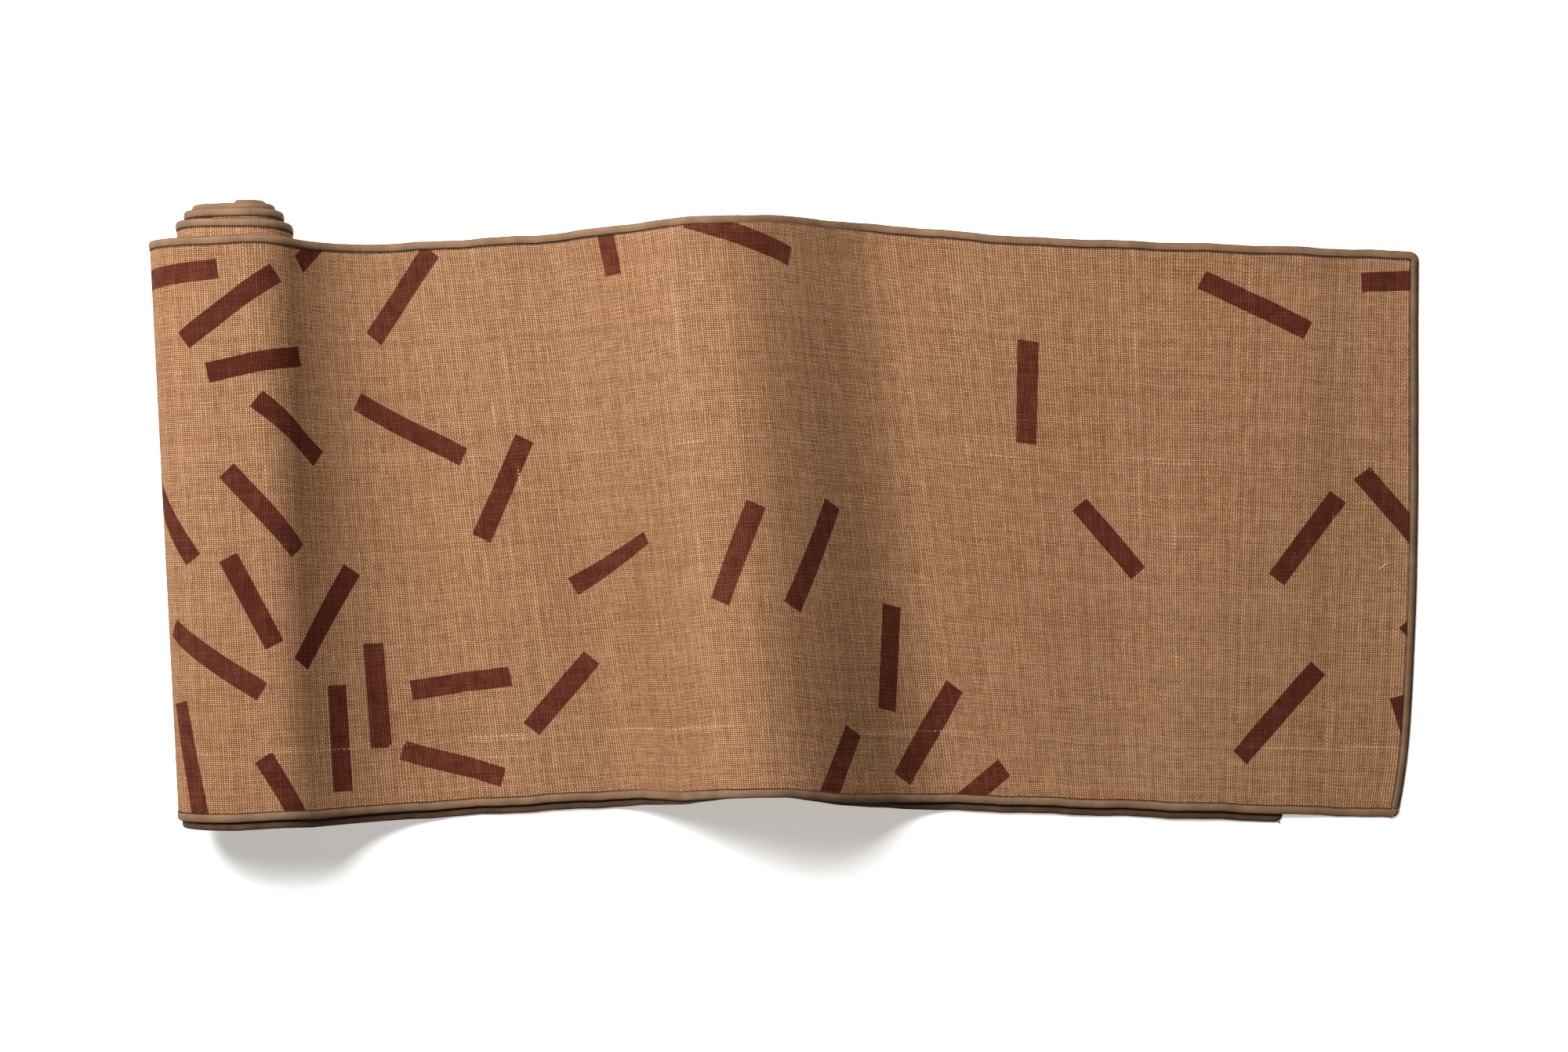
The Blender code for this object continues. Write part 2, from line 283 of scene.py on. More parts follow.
    def roll(self, half_turns: float) -> list[tuple[float, float, float]]:
        """(place, height, turns made) round the roll, from the left end of its top to the fold.

        Args:
            half_turns: The roll's half turns.

        Returns:
            The points, in order.
        """
        radius = self.roll_core_radius + half_turns * self.layer_pitch
        height = self.pair_rest + 2 * radius
        points = []
        for half_turn in range(math.ceil(half_turns)):
            share = min(1.0, half_turns - half_turn)
            sign = -1 if half_turn % 2 == 0 else 1
            reach = radius + (self.loop_slack if half_turn == 0 else 0.0)
            arc = steps(0, self.arc_share, self.arc_steps)
            straight = steps(self.arc_share, 1, self.straight_steps)
            for turned in [part for part in arc + straight if part < share - 0.02] + (
                [share] if share < 1 else []
            ):
                angle = math.pi * min(1.0, turned / self.arc_share)
                along = max(0.0, (turned - self.arc_share) / (1 - self.arc_share))
                place = sign * (self.roll_flat * (0.5 - along) + reach * math.sin(angle))
                rise = radius * (1 - math.cos(angle))
                points.append((place, height + sign * rise, (half_turn + turned) / 2))
            height += sign * 2 * radius
            radius -= self.layer_pitch
        return points

    def leaves_by(self, turned: float) -> float:
        """How far the cloth has left the strip's line towards the far side, after some turns."""
        return self.roll_leaves_first + self.roll_leaves_all * (1 - self.roll_leaves_ratio**turned)

    def pair_line(self, edge: Edge, half_turns: float) -> list[tuple[float, float, float, float, float]]:
        """The line midway between the two layers along one edge.

        Args:
            edge: The long edge.
            half_turns: The roll's half turns.

        Returns:
            (place, height, sideways shift, slip share, ripple share) from the bottom layer's end to
            the fold.
        """
        outer_radius = self.roll_core_radius + half_turns * self.layer_pitch
        wave = self.wave(edge)
        descent = self.descent(edge, outer_radius)
        corner = [self.bottom_end - inwards for inwards in self.corner_insets()]
        after_lift = self.bottom_end - self.edge_lift_run
        line = [(place, self.pair_rest, 0.0, 1.0, 0.0) for place in corner]
        line += [
            (place, self.pair_rest, 0.0, 1.0, smoothstep((self.bottom_end - place) / self.calm_end_run))
            for place in steps(after_lift, wave[0][0], self.flat_steps)
        ]
        line += [(place, height, 0.0, slip, 1.0) for place, height, slip in wave]
        foot = descent[0][0]
        line += [
            (place, self.pair_rest, 0.0, 1.0, smoothstep((place - foot) / self.calm_foot_run))
            for place in steps(wave[-1][0], foot, self.valley_steps)[1:]
        ]
        for index, (place, height) in enumerate(descent):
            shift = self.roll_leaves_first * smoothstep(index / (len(descent) - 1))
            line.append((place, height, shift, 1.0, 0.0))
        for place, height, turned in self.roll(half_turns):
            line.append((place, height, self.leaves_by(turned), 1 - 2 * turned / half_turns, 0.0))
        return line

    def corner_insets(self) -> list[float]:
        """Distances in from an end at which the rounded corner has its rows."""
        angles = [*steps(0, math.pi / 2, self.corner_steps), math.pi / 2]
        return [self.corner_radius * (1 - math.cos(angle)) for angle in angles]

    def corner_loss(self, inwards: float) -> float:
        """How far the long edge is pulled in at a distance from a cut end.

        Args:
            inwards: The distance in from the cut end.

        Returns:
            The distance, 0 past the corner.
        """
        if inwards >= self.corner_radius:
            return 0.0
        left = 1 - inwards / self.corner_radius
        return self.corner_radius * (1 - math.sqrt(1 - left * left))

    def edge_point(self, edge: Edge, place: float, height: float, shift: float, loss: float) -> Vector:
        """The point on one edge of the strip.

        Args:
            edge: The long edge.
            place: Distance from the roll's middle along the strip.
            height: The height.
            shift: The move towards the far side.
            loss: How far the edge is pulled in.

        Returns:
            The point, from the roll's middle.
        """
        angle = self.heading(place)
        middle = self.centre(place)
        swayed = min(1.0, max(-1.0, (place - edge.sway_place) / edge.sway_reach))
        wander = self.edge_wander * math.sin(place * 118 + edge.sign)
        wander += self.edge_flutter * math.sin(place * 301)
        wander *= smoothstep((place - self.wander_from) / self.wander_run)
        over = edge.sign * (self.half_width - loss) + shift + wander
        over += edge.sway * (1 + math.cos(math.pi * swayed)) / 2
        return Vector((middle.x - over * math.sin(angle), middle.y + over * math.cos(angle), height))

    def upright(self, place: float, normal: Vector) -> Vector:
        """A normal of the (place, height) line, turned into the strip's heading."""
        angle = self.heading(place)
        return Vector((normal.x * math.cos(angle), normal.x * math.sin(angle), normal.y))

    @staticmethod
    def normals(points: Sequence[tuple[float, ...]]) -> list[Vector]:
        """Unit normals of an open line of (place, height).

        Args:
            points: The line's points.

        Returns:
            One normal for each point.
        """
        found = []
        for index in range(len(points)):
            before = Vector(points[max(index - 1, 0)][:2])
            after = Vector(points[min(index + 1, len(points) - 1)][:2])
            along = (after - before).normalized()
            found.append(Vector((along.y, -along.x)))
        return found

    def layer(self, half_turns: float, side: int) -> list[Row]:
        """The rows of one layer, 1 for the top and -1 for the bottom, from the bottom end to the fold.

        Args:
            half_turns: The roll's half turns.
            side: 1 for the top layer, -1 for the bottom one.

        Returns:
            The rows, in order.
        """
        lines = {edge: self.pair_line(edge, half_turns) for edge in (FAR, NEAR)}
        ups = {edge: self.normals(lines[edge]) for edge in lines}
        slope_start = len(self.corner_insets()) + self.flat_steps + self.wave_steps + self.valley_steps
        rows = []
        for index in range(len(lines[FAR])):
            ends = []
            for edge in (FAR, NEAR):
                place, height, shift, slip, ripple = lines[edge][index]
                up = self.upright(place, ups[edge][index])
                moved = shift - (self.layer_slip * slip if side < 0 else 0.0)
                loss = self.corner_loss(self.bottom_end - place) if side < 0 else 0.0
                point = self.edge_point(edge, place, height, moved, loss)
                ends.append((point + up * side * self.layer_pitch / 2, up, ripple, place))
            sag = 1 - smoothstep((index - slope_start) / (2 * self.descent_steps))
            if side < 0:
                sag *= smoothstep((self.bottom_end - ends[0][3]) / self.edge_lift_run)
            (far, far_up, ripple, far_place), (near, near_up, _, near_place) = ends
            middle = (far_place + near_place) / 2
            rows.append(Row(far, near, far_up, near_up, middle, ripple, sag))
        return rows

    def overhang(self) -> list[Row]:
        """The top layer's rows past the bottom layer's end, from its own end.

        Returns:
            The rows, in order.
        """
        low, high = self.half_layer, self.half_layer + self.layer_pitch
        line = [(self.top_end - inwards, low) for inwards in self.corner_insets()]
        flat_from = self.top_end - self.corner_radius
        flat_to = self.bottom_end + self.end_step_run
        line += [(place, low) for place in steps(flat_from, flat_to, self.overhang_steps)[1:]]
        step_to = self.bottom_end + self.end_step_start
        for share in [*steps(0, 1, 12), 1.0]:
            height = low + (high - low) * smoothstep(share)
            line.append((flat_to + (step_to - flat_to) * share, height))
        line.append((self.bottom_end, high))
        ups = self.normals(line)
        rows = []
        for (place, height), normal in list(zip(line, ups))[:-1]:
            up = self.upright(place, normal)
            loss = self.corner_loss(self.top_end - place)
            far, near = (self.edge_point(edge, place, height, 0.0, loss) for edge in (FAR, NEAR))
            inwards = self.top_end - place
            rows.append(
                Row(
                    far,
                    near,
                    up,
                    up,
                    place,
                    rippled=0.4 * smoothstep(inwards / 0.03) * smoothstep((place - flat_to) / 0.012),
                    sag=smoothstep(inwards / self.edge_lift_run),
                    bow=1 - smoothstep(inwards / 0.055),
                )
            )
        return rows

    def fold(self, top: Sequence[Row], bottom: Sequence[Row]) -> list[Row]:
        """The rows round the fold, between the last rows of the two layers.

        Args:
            top: The top layer's rows.
            bottom: The bottom layer's rows.

        Returns:
            The rows, in order.
        """
        rows = []
        for angle in steps(0, math.pi, self.fold_steps)[1:]:
            ends = []
            for side in ("far", "near"):
                over, under = getattr(top[-1], side), getattr(bottom[-1], side)
                before = (getattr(top[-2], side) + getattr(bottom[-2], side)) / 2
                middle = (over + under) / 2
                up = (over - under).normalized()
                ahead = middle - before
                ahead = (ahead - up * ahead.dot(up)).normalized()
                spoke = up * math.cos(angle) + ahead * math.sin(angle)
                ends.append((middle + spoke * (over - under).length / 2, spoke))
            (far, far_up), (near, near_up) = ends
            rows.append(Row(far, near, far_up, near_up, top[-1].place))
        return rows

    def lay(self, half_turns: float) -> list[Row]:
        """Every row of the cloth, from the top layer's end round the fold to the bottom layer's end.

        Args:
            half_turns: The roll's half turns.

        Returns:
            The rows, in order.
        """
        top = self.layer(half_turns, 1)
        bottom = self.layer(half_turns, -1)
        below = [row.turned_over() for row in reversed(bottom)]
        return self.overhang() + top + self.fold(top, bottom) + below

    def wind(self) -> float:
        """The half turns of the roll that take up the whole cloth.

        Returns:
            The half turns.
        """
        wanted = self.length - 2 * self.seam_wrap
        few, many = 4.0, 12.0
        for _ in range(14):
            tried = (few + many) / 2
            if self.lengths_along(self.lay(tried))[-1] < wanted:
                few = tried
            else:
                many = tried
        return (few + many) / 2

    @staticmethod
    def lengths_along(rows: Sequence[Row]) -> list[float]:
        """Each row's distance from the first one, along the cloth's middle.

        Args:
            rows: The rows, in order.

        Returns:
            The distances, in order.
        """
        middles = [(row.far + row.near) / 2 for row in rows]
        places = [0.0]
        for before, after in zip(middles, middles[1:]):
            places.append(places[-1] + (after - before).length)
        return places

    def ripple_at(self, place: float, across: float) -> float:
        """The height of the cloth's slight ripples, never below the flat.

        Args:
            place: Distance from the roll's middle along the strip.
            across: The share of the way from far (0) to near (1).

        Returns:
            The height.
        """
        long_one = math.sin(place * 41 + across * 1.6)
        short_one = math.sin(place * 83 - across * 3.1 + 1.0)
        cross_one = math.sin(place * 23 + across * 7.0)
        return self.ripple * (2.0 + long_one + 0.5 * short_one + 0.5 * cross_one)

    def bow_at(self, across: float) -> float:
        """How far the top end's edge lies outside its straight line, from far (0) to near (1)."""
        pulled = max(0.0, (across - 0.85) / 0.15) ** 2
        return self.end_bow * math.sin(math.pi * across**1.3) - self.corner_pull * pulled

    def point(self, row: Row, across: float, offset: float = 0.0) -> Vector:
        """A point of the cloth.

        Args:
            row: The row that it lies on.
            across: Its share of the way from the far edge (0) to the near edge (1).
            offset: How far it lies above the cloth's middle, towards the printed face.

        Returns:
            The point, from the roll's middle.
        """
        up = row.far_up.lerp(row.near_up, across).normalized()
        from_edge = min(across, 1 - across) * 2 * self.half_width
        lift = -self.seam_height * row.sag * smoothstep(from_edge / self.edge_lift_run)
        lift += self.ripple_at(row.place, across) * row.rippled
        point = row.far.lerp(row.near, across) + up * (lift + offset)
        if row.bow:
            angle = self.right_yaw
            point += Vector((math.cos(angle), math.sin(angle), 0.0)) * self.bow_at(across) * row.bow
        return point


# ---------------------------------------------------------------- the print


@dataclass(frozen=True)
class Bar:
    """One printed bar.

    Attributes:
        along: Its middle's distance from the top end's cut edge.
        across: Its middle's distance from the centre line, plus towards the far edge.
        length: From end to end.
        angle: Degrees anticlockwise from the strip's long direction.
        ink: How thickly it is printed, from 0 to 1.
        width: From side to side, at its middle.
        taper: How much wider it is at its right end, as a share of its width.
    """

    along: float
    across: float
    length: float
    angle: float
    ink: float = 0.6
    width: float = 0.0122
    taper: float = 0.0


# The bars that show on the top layer, from the roll to the end, each set to 5 mm and 5 degrees
TOP_BARS = (
    Bar(0.825, 0.010, 0.070, 125, 0.6),
    Bar(0.815, 0.155, 0.070, 5, 0.5),
    Bar(0.815, -0.140, 0.070, 100, 0.5),
    Bar(0.795, -0.080, 0.070, 145, 0.5),
    Bar(0.775, 0.135, 0.070, 35, 0.7),
    Bar(0.770, -0.045, 0.060, 115, 0.7),
    Bar(0.760, 0.100, 0.060, 10, 0.8),
    Bar(0.760, 0.010, 0.065, 130, 0.6),
    Bar(0.750, -0.170, 0.070, 120, 0.7),
    Bar(0.740, 0.060, 0.055, 140, 0.7),
    Bar(0.720, -0.055, 0.070, 55, 0.8),
    Bar(0.715, -0.130, 0.065, 90, 0.6),
    Bar(0.700, 0.185, 0.070, 40, 0.7),
    Bar(0.690, -0.105, 0.065, 90, 0.6),
    Bar(0.655, 0.060, 0.075, 150, 0.6),
    Bar(0.650, 0.145, 0.070, 50, 0.5),
    Bar(0.650, -0.150, 0.060, 160, 0.5),
    Bar(0.640, -0.100, 0.060, 5, 0.5),
    Bar(0.600, 0.020, 0.070, 60, 0.6),
    Bar(0.580, -0.110, 0.060, 45, 0.5),
    Bar(0.535, -0.030, 0.065, 25, 0.5, width=0.0100, taper=-0.2),
    Bar(0.510, 0.180, 0.065, 95, 0.4),
    Bar(0.440, -0.030, 0.065, 65, 0.4),
    Bar(0.420, 0.165, 0.070, 160, 0.5),
    Bar(0.390, -0.030, 0.075, 60, 0.6),
    Bar(0.390, -0.165, 0.070, 60, 0.6),
    Bar(0.340, -0.090, 0.065, 80, 0.7),
    Bar(0.320, -0.135, 0.070, 55, 0.6),
    Bar(0.300, -0.175, 0.070, 35, 0.5),
    Bar(0.235, 0.080, 0.065, 85, 0.5),
    Bar(0.190, -0.010, 0.055, 130, 0.6),
    Bar(0.100, 0.140, 0.070, 155, 0.6),
    Bar(0.080, -0.115, 0.075, 50, 0.7),
    Bar(0.065, -0.005, 0.065, 55, 0.7),
    Bar(0.010, 0.010, 0.070, 130, 0.7),
    Bar(0.000, 0.160, 0.070, 5, 0.6),
    Bar(-0.005, -0.135, 0.070, 110, 0.8),
    Bar(-0.020, -0.080, 0.070, 135, 0.8),
)


@dataclass
class BarPrint:
    """The print: short straight bars thrown over the cloth at every angle."""

    strip: Strip
    cell: float = 0.088
    jitter: float = 0.18  # of a cell
    hidden_from: float = 0.05  # past the last bar that shows
    bars: list[Bar] = field(default_factory=list)

    def __post_init__(self) -> None:
        """Adds bars at even odds over the part that the roll hides."""
        self.bars = list(TOP_BARS)
        rng = np.random.default_rng(7)
        start = max(bar.along for bar in TOP_BARS) + self.hidden_from
        columns = int((self.strip.length - start) / self.cell)
        rows = int(self.strip.width / self.cell)
        for column in range(columns):
            for row in range(rows):
                along = start + (column + 0.5 + rng.uniform(-self.jitter, self.jitter)) * self.cell
                across = (row + 0.5 - rows / 2 + rng.uniform(-self.jitter, self.jitter)) * self.cell
                length, angle, ink = rng.uniform(0.045, 0.072), rng.uniform(0, 180), rng.uniform(0.3, 0.9)
                self.bars.append(Bar(along, across, length, angle, ink))

    def nearest(self, along: np.ndarray, across: np.ndarray) -> np.ndarray:
        """The nearest bar to each of some points of the flat cloth.

        Args:
            along: Distances from the top end.
            across: Distances from the centre line.

        Returns:
            The number of each point's nearest bar.
        """
        gaps = []
        for bar in self.bars:
            ahead, aside = self.in_bar(bar, along, across)
            by_length = np.maximum(np.abs(ahead) - bar.length / 2, 0)
            by_width = np.maximum(np.abs(aside) - bar.width / 2, 0)
            gaps.append(np.hypot(by_length, by_width))
        return np.argmin(np.array(gaps), axis=0)

    @staticmethod
    def in_bar(bar: Bar, along: np.ndarray, across: np.ndarray) -> tuple[np.ndarray, np.ndarray]:
        """Points of the flat cloth, measured along and beside a bar from its middle.

        Args:
            bar: The bar.
            along: Distances from the top end.
            across: Distances from the centre line.

        Returns:
            The distances along and beside the bar.
        """
        angle = math.radians(bar.angle)
        ahead = -(along - bar.along) * math.cos(angle) + (across - bar.across) * math.sin(angle)
        aside = (along - bar.along) * math.sin(angle) + (across - bar.across) * math.cos(angle)
        return ahead, aside

    def mark(self, data: bpy.types.Mesh, uvs: np.ndarray, printed: np.ndarray) -> None:
        """Writes where each face of the cloth lies in its nearest bar, and that bar's ink.

        Args:
            data: The cloth's mesh.
            uvs: Each vertex's place on the flat cloth.
            printed: Whether each vertex is on the printed face.
        """
        corners = np.empty(len(data.loops), np.int32)
        data.loops.foreach_get("vertex_index", corners)
        starts = np.array([polygon.loop_start for polygon in data.polygons])
        counts = np.array([polygon.loop_total for polygon in data.polygons])
        middles = np.add.reduceat(uvs[corners], starts, axis=0) / counts[:, None]
        chosen = self.nearest(middles[:, 0], middles[:, 1])
        on_front = np.minimum.reduceat(printed[corners].astype(int), starts)
        by_corner = np.repeat(chosen, counts)
        places = np.zeros((len(corners), 3), np.float32)
        for number, bar in enumerate(self.bars):
            own = by_corner == number
            ahead, aside = self.in_bar(bar, uvs[corners[own], 0], uvs[corners[own], 1])
            widths = bar.width * (1 + bar.taper * np.clip(2 * ahead / bar.length, -1.2, 1.2))
            halves = np.full(len(ahead), bar.length / 2)
            places[own] = np.stack([ahead, aside * Bar.width / widths, halves], axis=1)
        places[np.repeat(on_front, counts) == 0, 2] = -1.0
        ink = np.array([bar.ink for bar in self.bars], np.float32)[by_corner]
        place = data.attributes.new(PRINT_PLACE, "FLOAT_VECTOR", "CORNER")
        place.data.foreach_set("vector", places.ravel())
        data.attributes.new(PRINT_INK, "FLOAT", "CORNER").data.foreach_set("value", ink)


# ---------------------------------------------------------------- shader wiring

Input = float | int | tuple[float, ...] | bpy.types.NodeSocket


class Wiring:
    """Adds nodes to one node tree and joins them."""

    def __init__(self, tree: bpy.types.NodeTree) -> None:
        """Keeps the tree.

        Args:
            tree: A material's or a group's node tree.
        """
        self.tree = tree

    def feed(self, socket: bpy.types.NodeSocket, value: Input) -> None:
        """Joins an output to a socket, or sets the socket's own value.

        Args:
            socket: The input socket.
            value: An output to join, or a plain value.
        """
        if isinstance(value, bpy.types.NodeSocket):
            self.tree.links.new(value, socket)
        else:
            socket.default_value = value

    def node(
        self, kind: str, values: dict[str | int, Input] | None = None, **settings: object
    ) -> bpy.types.Node:
        """A new node.

        Args:
            kind: The node's type, without "ShaderNode".
            values: What its inputs take.
            **settings: Its own properties.

        Returns:
            The node.
        """
        made = self.tree.nodes.new("ShaderNode" + kind)
        for name, setting in settings.items():
            setattr(made, name, setting)
        for name, value in (values or {}).items():
            self.feed(made.inputs[name], value)
        return made

    def math(self, operation: str, *values: Input, clamp: bool = False) -> bpy.types.NodeSocket:
        """The result of one sum."""
        made = self.node("Math", dict(enumerate(values)), operation=operation, use_clamp=clamp)
        return made.outputs[0]

    def ramp(
        self, value: Input, low: Input, high: Input, to_low: float = 0.0, to_high: float = 1.0
    ) -> bpy.types.NodeSocket:
        """A value carried softly from one range to another.

        Args:
            value: The value to carry.
            low: Where the range starts.
            high: Where it ends.
            to_low: The result at its start.
            to_high: The result at its end.

        Returns:
            The result's output.
        """
        made = self.node("MapRange", interpolation_type="SMOOTHSTEP")
        for index, given in enumerate((value, low, high, to_low, to_high)):
            self.feed(made.inputs[index], given)
        return made.outputs[0]

    def mix(self, share: Input, first: Input, second: Input, blend: str = "MIX") -> bpy.types.NodeSocket:
        """Two colours mixed.

        Args:
            share: How much of the second one is taken.
            first: The first one.
            second: The second one.
            blend: How the second one is laid on.

        Returns:
            The mixed colour's output.
        """
        made = self.node("Mix", data_type="RGBA", blend_type=blend)
        for index, given in ((0, share), (6, first), (7, second)):
            self.feed(made.inputs[index], given)
        return made.outputs[2]

    def choose(self, share: Input, first: Input, second: Input) -> bpy.types.NodeSocket:
        """Two numbers mixed.

        Args:
            share: How much of the second one is taken.
            first: The first one.
            second: The second one.

        Returns:
            The mixed number's output.
        """
        made = self.node("Mix", data_type="FLOAT")
        for index, given in ((0, share), (2, first), (3, second)):
            self.feed(made.inputs[index], given)
        return made.outputs[0]

    def place(self, x: Input, y: Input, z: Input = 0.0) -> bpy.types.NodeSocket:
        """A vector of three values."""
        return self.node("CombineXYZ", {0: x, 1: y, 2: z}).outputs[0]

    def noise(self, place: Input, scale: float = 1.0, detail: float = 2.0) -> bpy.types.NodeSocket:
        """Soft noise, from 0 to 1."""
        values = {"Vector": place, "Scale": scale, "Detail": detail, "Roughness": 0.55}
        return self.node("TexNoise", values).outputs["Fac"]

    def chance(self, place: Input) -> bpy.types.NodeSocket:
        """A number from 0 to 1 by chance for each whole place."""
        return self.node("TexWhiteNoise", {"Vector": place}, noise_dimensions="3D").outputs["Value"]


def new_group(
    name: str, inputs: dict[str, tuple[str, object]], outputs: dict[str, str]
) -> tuple[Wiring, bpy.types.Node, bpy.types.Node]:
    """An empty shader node group.

    Args:
        name: The group's name.
        inputs: The kind and the starting value of each input.
        outputs: The kind of each output.

    Returns:
        Its wiring, its input node and its output node.
    """
    tree = bpy.data.node_groups.new(name, "ShaderNodeTree")
    for title, (kind, value) in inputs.items():
        socket = tree.interface.new_socket(title, in_out="INPUT", socket_type="NodeSocket" + kind)
        if value is not None:
            socket.default_value = value
    for title, kind in outputs.items():
        tree.interface.new_socket(title, in_out="OUTPUT", socket_type="NodeSocket" + kind)
    return Wiring(tree), tree.nodes.new("NodeGroupInput"), tree.nodes.new("NodeGroupOutput")


class PlainWeave:
    """The shader group of a plain weave: each thread passes over one thread and under the next."""

    name = "plain_weave"

    def build(self) -> bpy.types.NodeTree:
        """Makes the group once.

        Returns:
            The group's tree, with Height, Gap, Shade and Slub outputs.
        """
        if self.name in bpy.data.node_groups:
            return bpy.data.node_groups[self.name]
        inputs = {
            "Place": ("Vector", None),
            "Pitch Along": ("Float", 0.00155),
            "Pitch Across": ("Float", 0.00117),
            "Thread Share": ("Float", 0.57),
            "Wander": ("Float", 0.3),
        }
        outputs = {"Height": "Float", "Gap": "Float", "Shade": "Float", "Slub": "Float"}
        wire, given, put = new_group(self.name, inputs, outputs)
        apart = wire.node("SeparateXYZ", {0: given.outputs["Place"]})
        along, across = apart.outputs[0], apart.outputs[1]
        crowding = wire.math("MULTIPLY", wire.noise(wire.place(along, 0.0), 28.0, 1.0), 2.2)
        drift = wire.math("MULTIPLY", wire.noise(wire.place(across, 3.0), 34.0, 1.0), 1.6)
        bend = wire.node("TexNoise", {"Vector": given.outputs["Place"], "Scale": 150.0, "Detail": 2.0})
        bends = wire.node("SeparateXYZ", {0: bend.outputs["Color"]})
        wander = given.outputs["Wander"]
        weft = self.thread(wire, along, given.outputs["Pitch Along"], crowding, bends.outputs[0], wander)
        warp = self.thread(wire, across, given.outputs["Pitch Across"], drift, bends.outputs[1], wander)
        weft_index, weft_off = weft
        warp_index, warp_off = warp
        fuller = wire.math("MULTIPLY", given.outputs["Thread Share"], 1.18)
        weft_seed, weft_slub, weft_cover = self.body(wire, weft_index, weft_off, across, fuller, 11.0)
        warp_seed, warp_slub, warp_cover = self.body(
            wire, warp_index, warp_off, along, given.outputs["Thread Share"], 47.0
        )
        both = wire.math("ADD", weft_index, warp_index)
        parity = wire.math("COSINE", wire.math("MULTIPLY", both, math.pi))
        over_warp = wire.math("COSINE", wire.math("MULTIPLY", warp_off, math.pi))
        over_weft = wire.math("COSINE", wire.math("MULTIPLY", weft_off, -math.pi))
        weft_wave = wire.math("MULTIPLY", parity, over_warp)
        warp_wave = wire.math("MULTIPLY", parity, over_weft)
        weft_height = self.height(wire, weft_wave, 0.5, weft_cover)
        warp_height = self.height(wire, warp_wave, -0.5, warp_cover)
        weft_on_top = wire.math("GREATER_THAN", weft_height, warp_height)
        height = wire.math("MAXIMUM", wire.math("MAXIMUM", weft_height, warp_height), -1.0)
        covered = wire.math("MAXIMUM", weft_cover, warp_cover)
        wire.feed(put.inputs["Height"], wire.math("MULTIPLY_ADD", height, 0.5, 0.5))
        wire.feed(put.inputs["Gap"], wire.ramp(covered, 0.05, 0.60, 1.0, 0.0))
        wire.feed(put.inputs["Shade"], wire.choose(weft_on_top, warp_seed, weft_seed))
        wire.feed(put.inputs["Slub"], wire.choose(weft_on_top, warp_slub, weft_slub))
        return wire.tree

    @staticmethod
    def thread(
        wire: Wiring, at: Input, pitch: Input, crowding: Input, bend: Input, wander: Input
    ) -> tuple[bpy.types.NodeSocket, bpy.types.NodeSocket]:
        """Which thread a point is nearest to, and how far from its middle, in pitches.

        Args:
            wire: The group's wiring.
            at: The distance across the threads.
            pitch: From one thread to the next.
            crowding: How many threads the crowding adds.
            bend: Noise that bends the threads.
            wander: How far they bend, in pitches.

        Returns:
            The thread's number and the distance.
        """
        counted = wire.math("ADD", wire.math("DIVIDE", at, pitch), crowding)
        counted = wire.math("ADD", counted, wire.math("MULTIPLY", wire.math("SUBTRACT", bend, 0.5), wander))
        index = wire.math("ROUND", counted)
        return index, wire.math("SUBTRACT", counted, index)

    @staticmethod
    def body(
        wire: Wiring, index: Input, off: Input, run: Input, share: Input, seed: float
    ) -> tuple[bpy.types.NodeSocket, ...]:
        """One set of threads: their shade, their slubs and how roundly they cover their pitch.

        Args:
            wire: The group's wiring.
            index: The thread's number.
            off: The distance from its middle, in pitches.
            run: The distance along the thread.
            share: How much of its pitch a thread fills.
            seed: A number that sets this set of threads apart.

        Returns:
            The outputs for the shade, the slubs and the cover.
        """
        chance = wire.chance(wire.place(index, seed))
        short_run, long_run = wire.math("MULTIPLY", run, 90.0), wire.math("MULTIPLY", run, 22.0)
        lumps = wire.noise(wire.place(wire.math("MULTIPLY", index, 7.31), short_run, seed))
        rare = wire.math("GREATER_THAN", chance, 0.975)
        long_lumps = wire.noise(wire.place(wire.math("MULTIPLY", index, 3.17), long_run, seed))
        slub = wire.math("MULTIPLY", rare, wire.ramp(long_lumps, 0.55, 0.66))
        thick = wire.math("MULTIPLY_ADD", wire.math("SUBTRACT", lumps, 0.5), 0.55, share)
        thick = wire.math("ADD", thick, wire.math("MULTIPLY", slub, 0.30))
        half = wire.math("MULTIPLY", thick, 0.5)
        ratio = wire.math("DIVIDE", off, half)
        left = wire.math("SUBTRACT", 1.0, wire.math("MULTIPLY", ratio, ratio))
        cover = wire.math("SQRT", wire.math("MAXIMUM", left, 0.0))
        shade = wire.math("ADD", wire.math("MULTIPLY", chance, 0.30), wire.math("MULTIPLY", lumps, 0.70))
        return shade, slub, cover

    @staticmethod
    def height(wire: Wiring, wave: Input, rise: float, cover: Input) -> bpy.types.NodeSocket:
        """A thread's height, far down where it isn't.

        Args:
            wire: The group's wiring.
            wave: The thread's rise and fall, from -1 to 1.
            rise: How far it rises.
            cover: How roundly the thread covers the point.

        Returns:
            The height's output.
        """
        there = wire.math("GREATER_THAN", cover, 0.001)
        up = wire.math("ADD", wire.math("MULTIPLY", wave, rise), wire.math("MULTIPLY", cover, 0.5))
        return wire.math("MULTIPLY_ADD", wire.math("SUBTRACT", there, 1.0), 3.0, up)


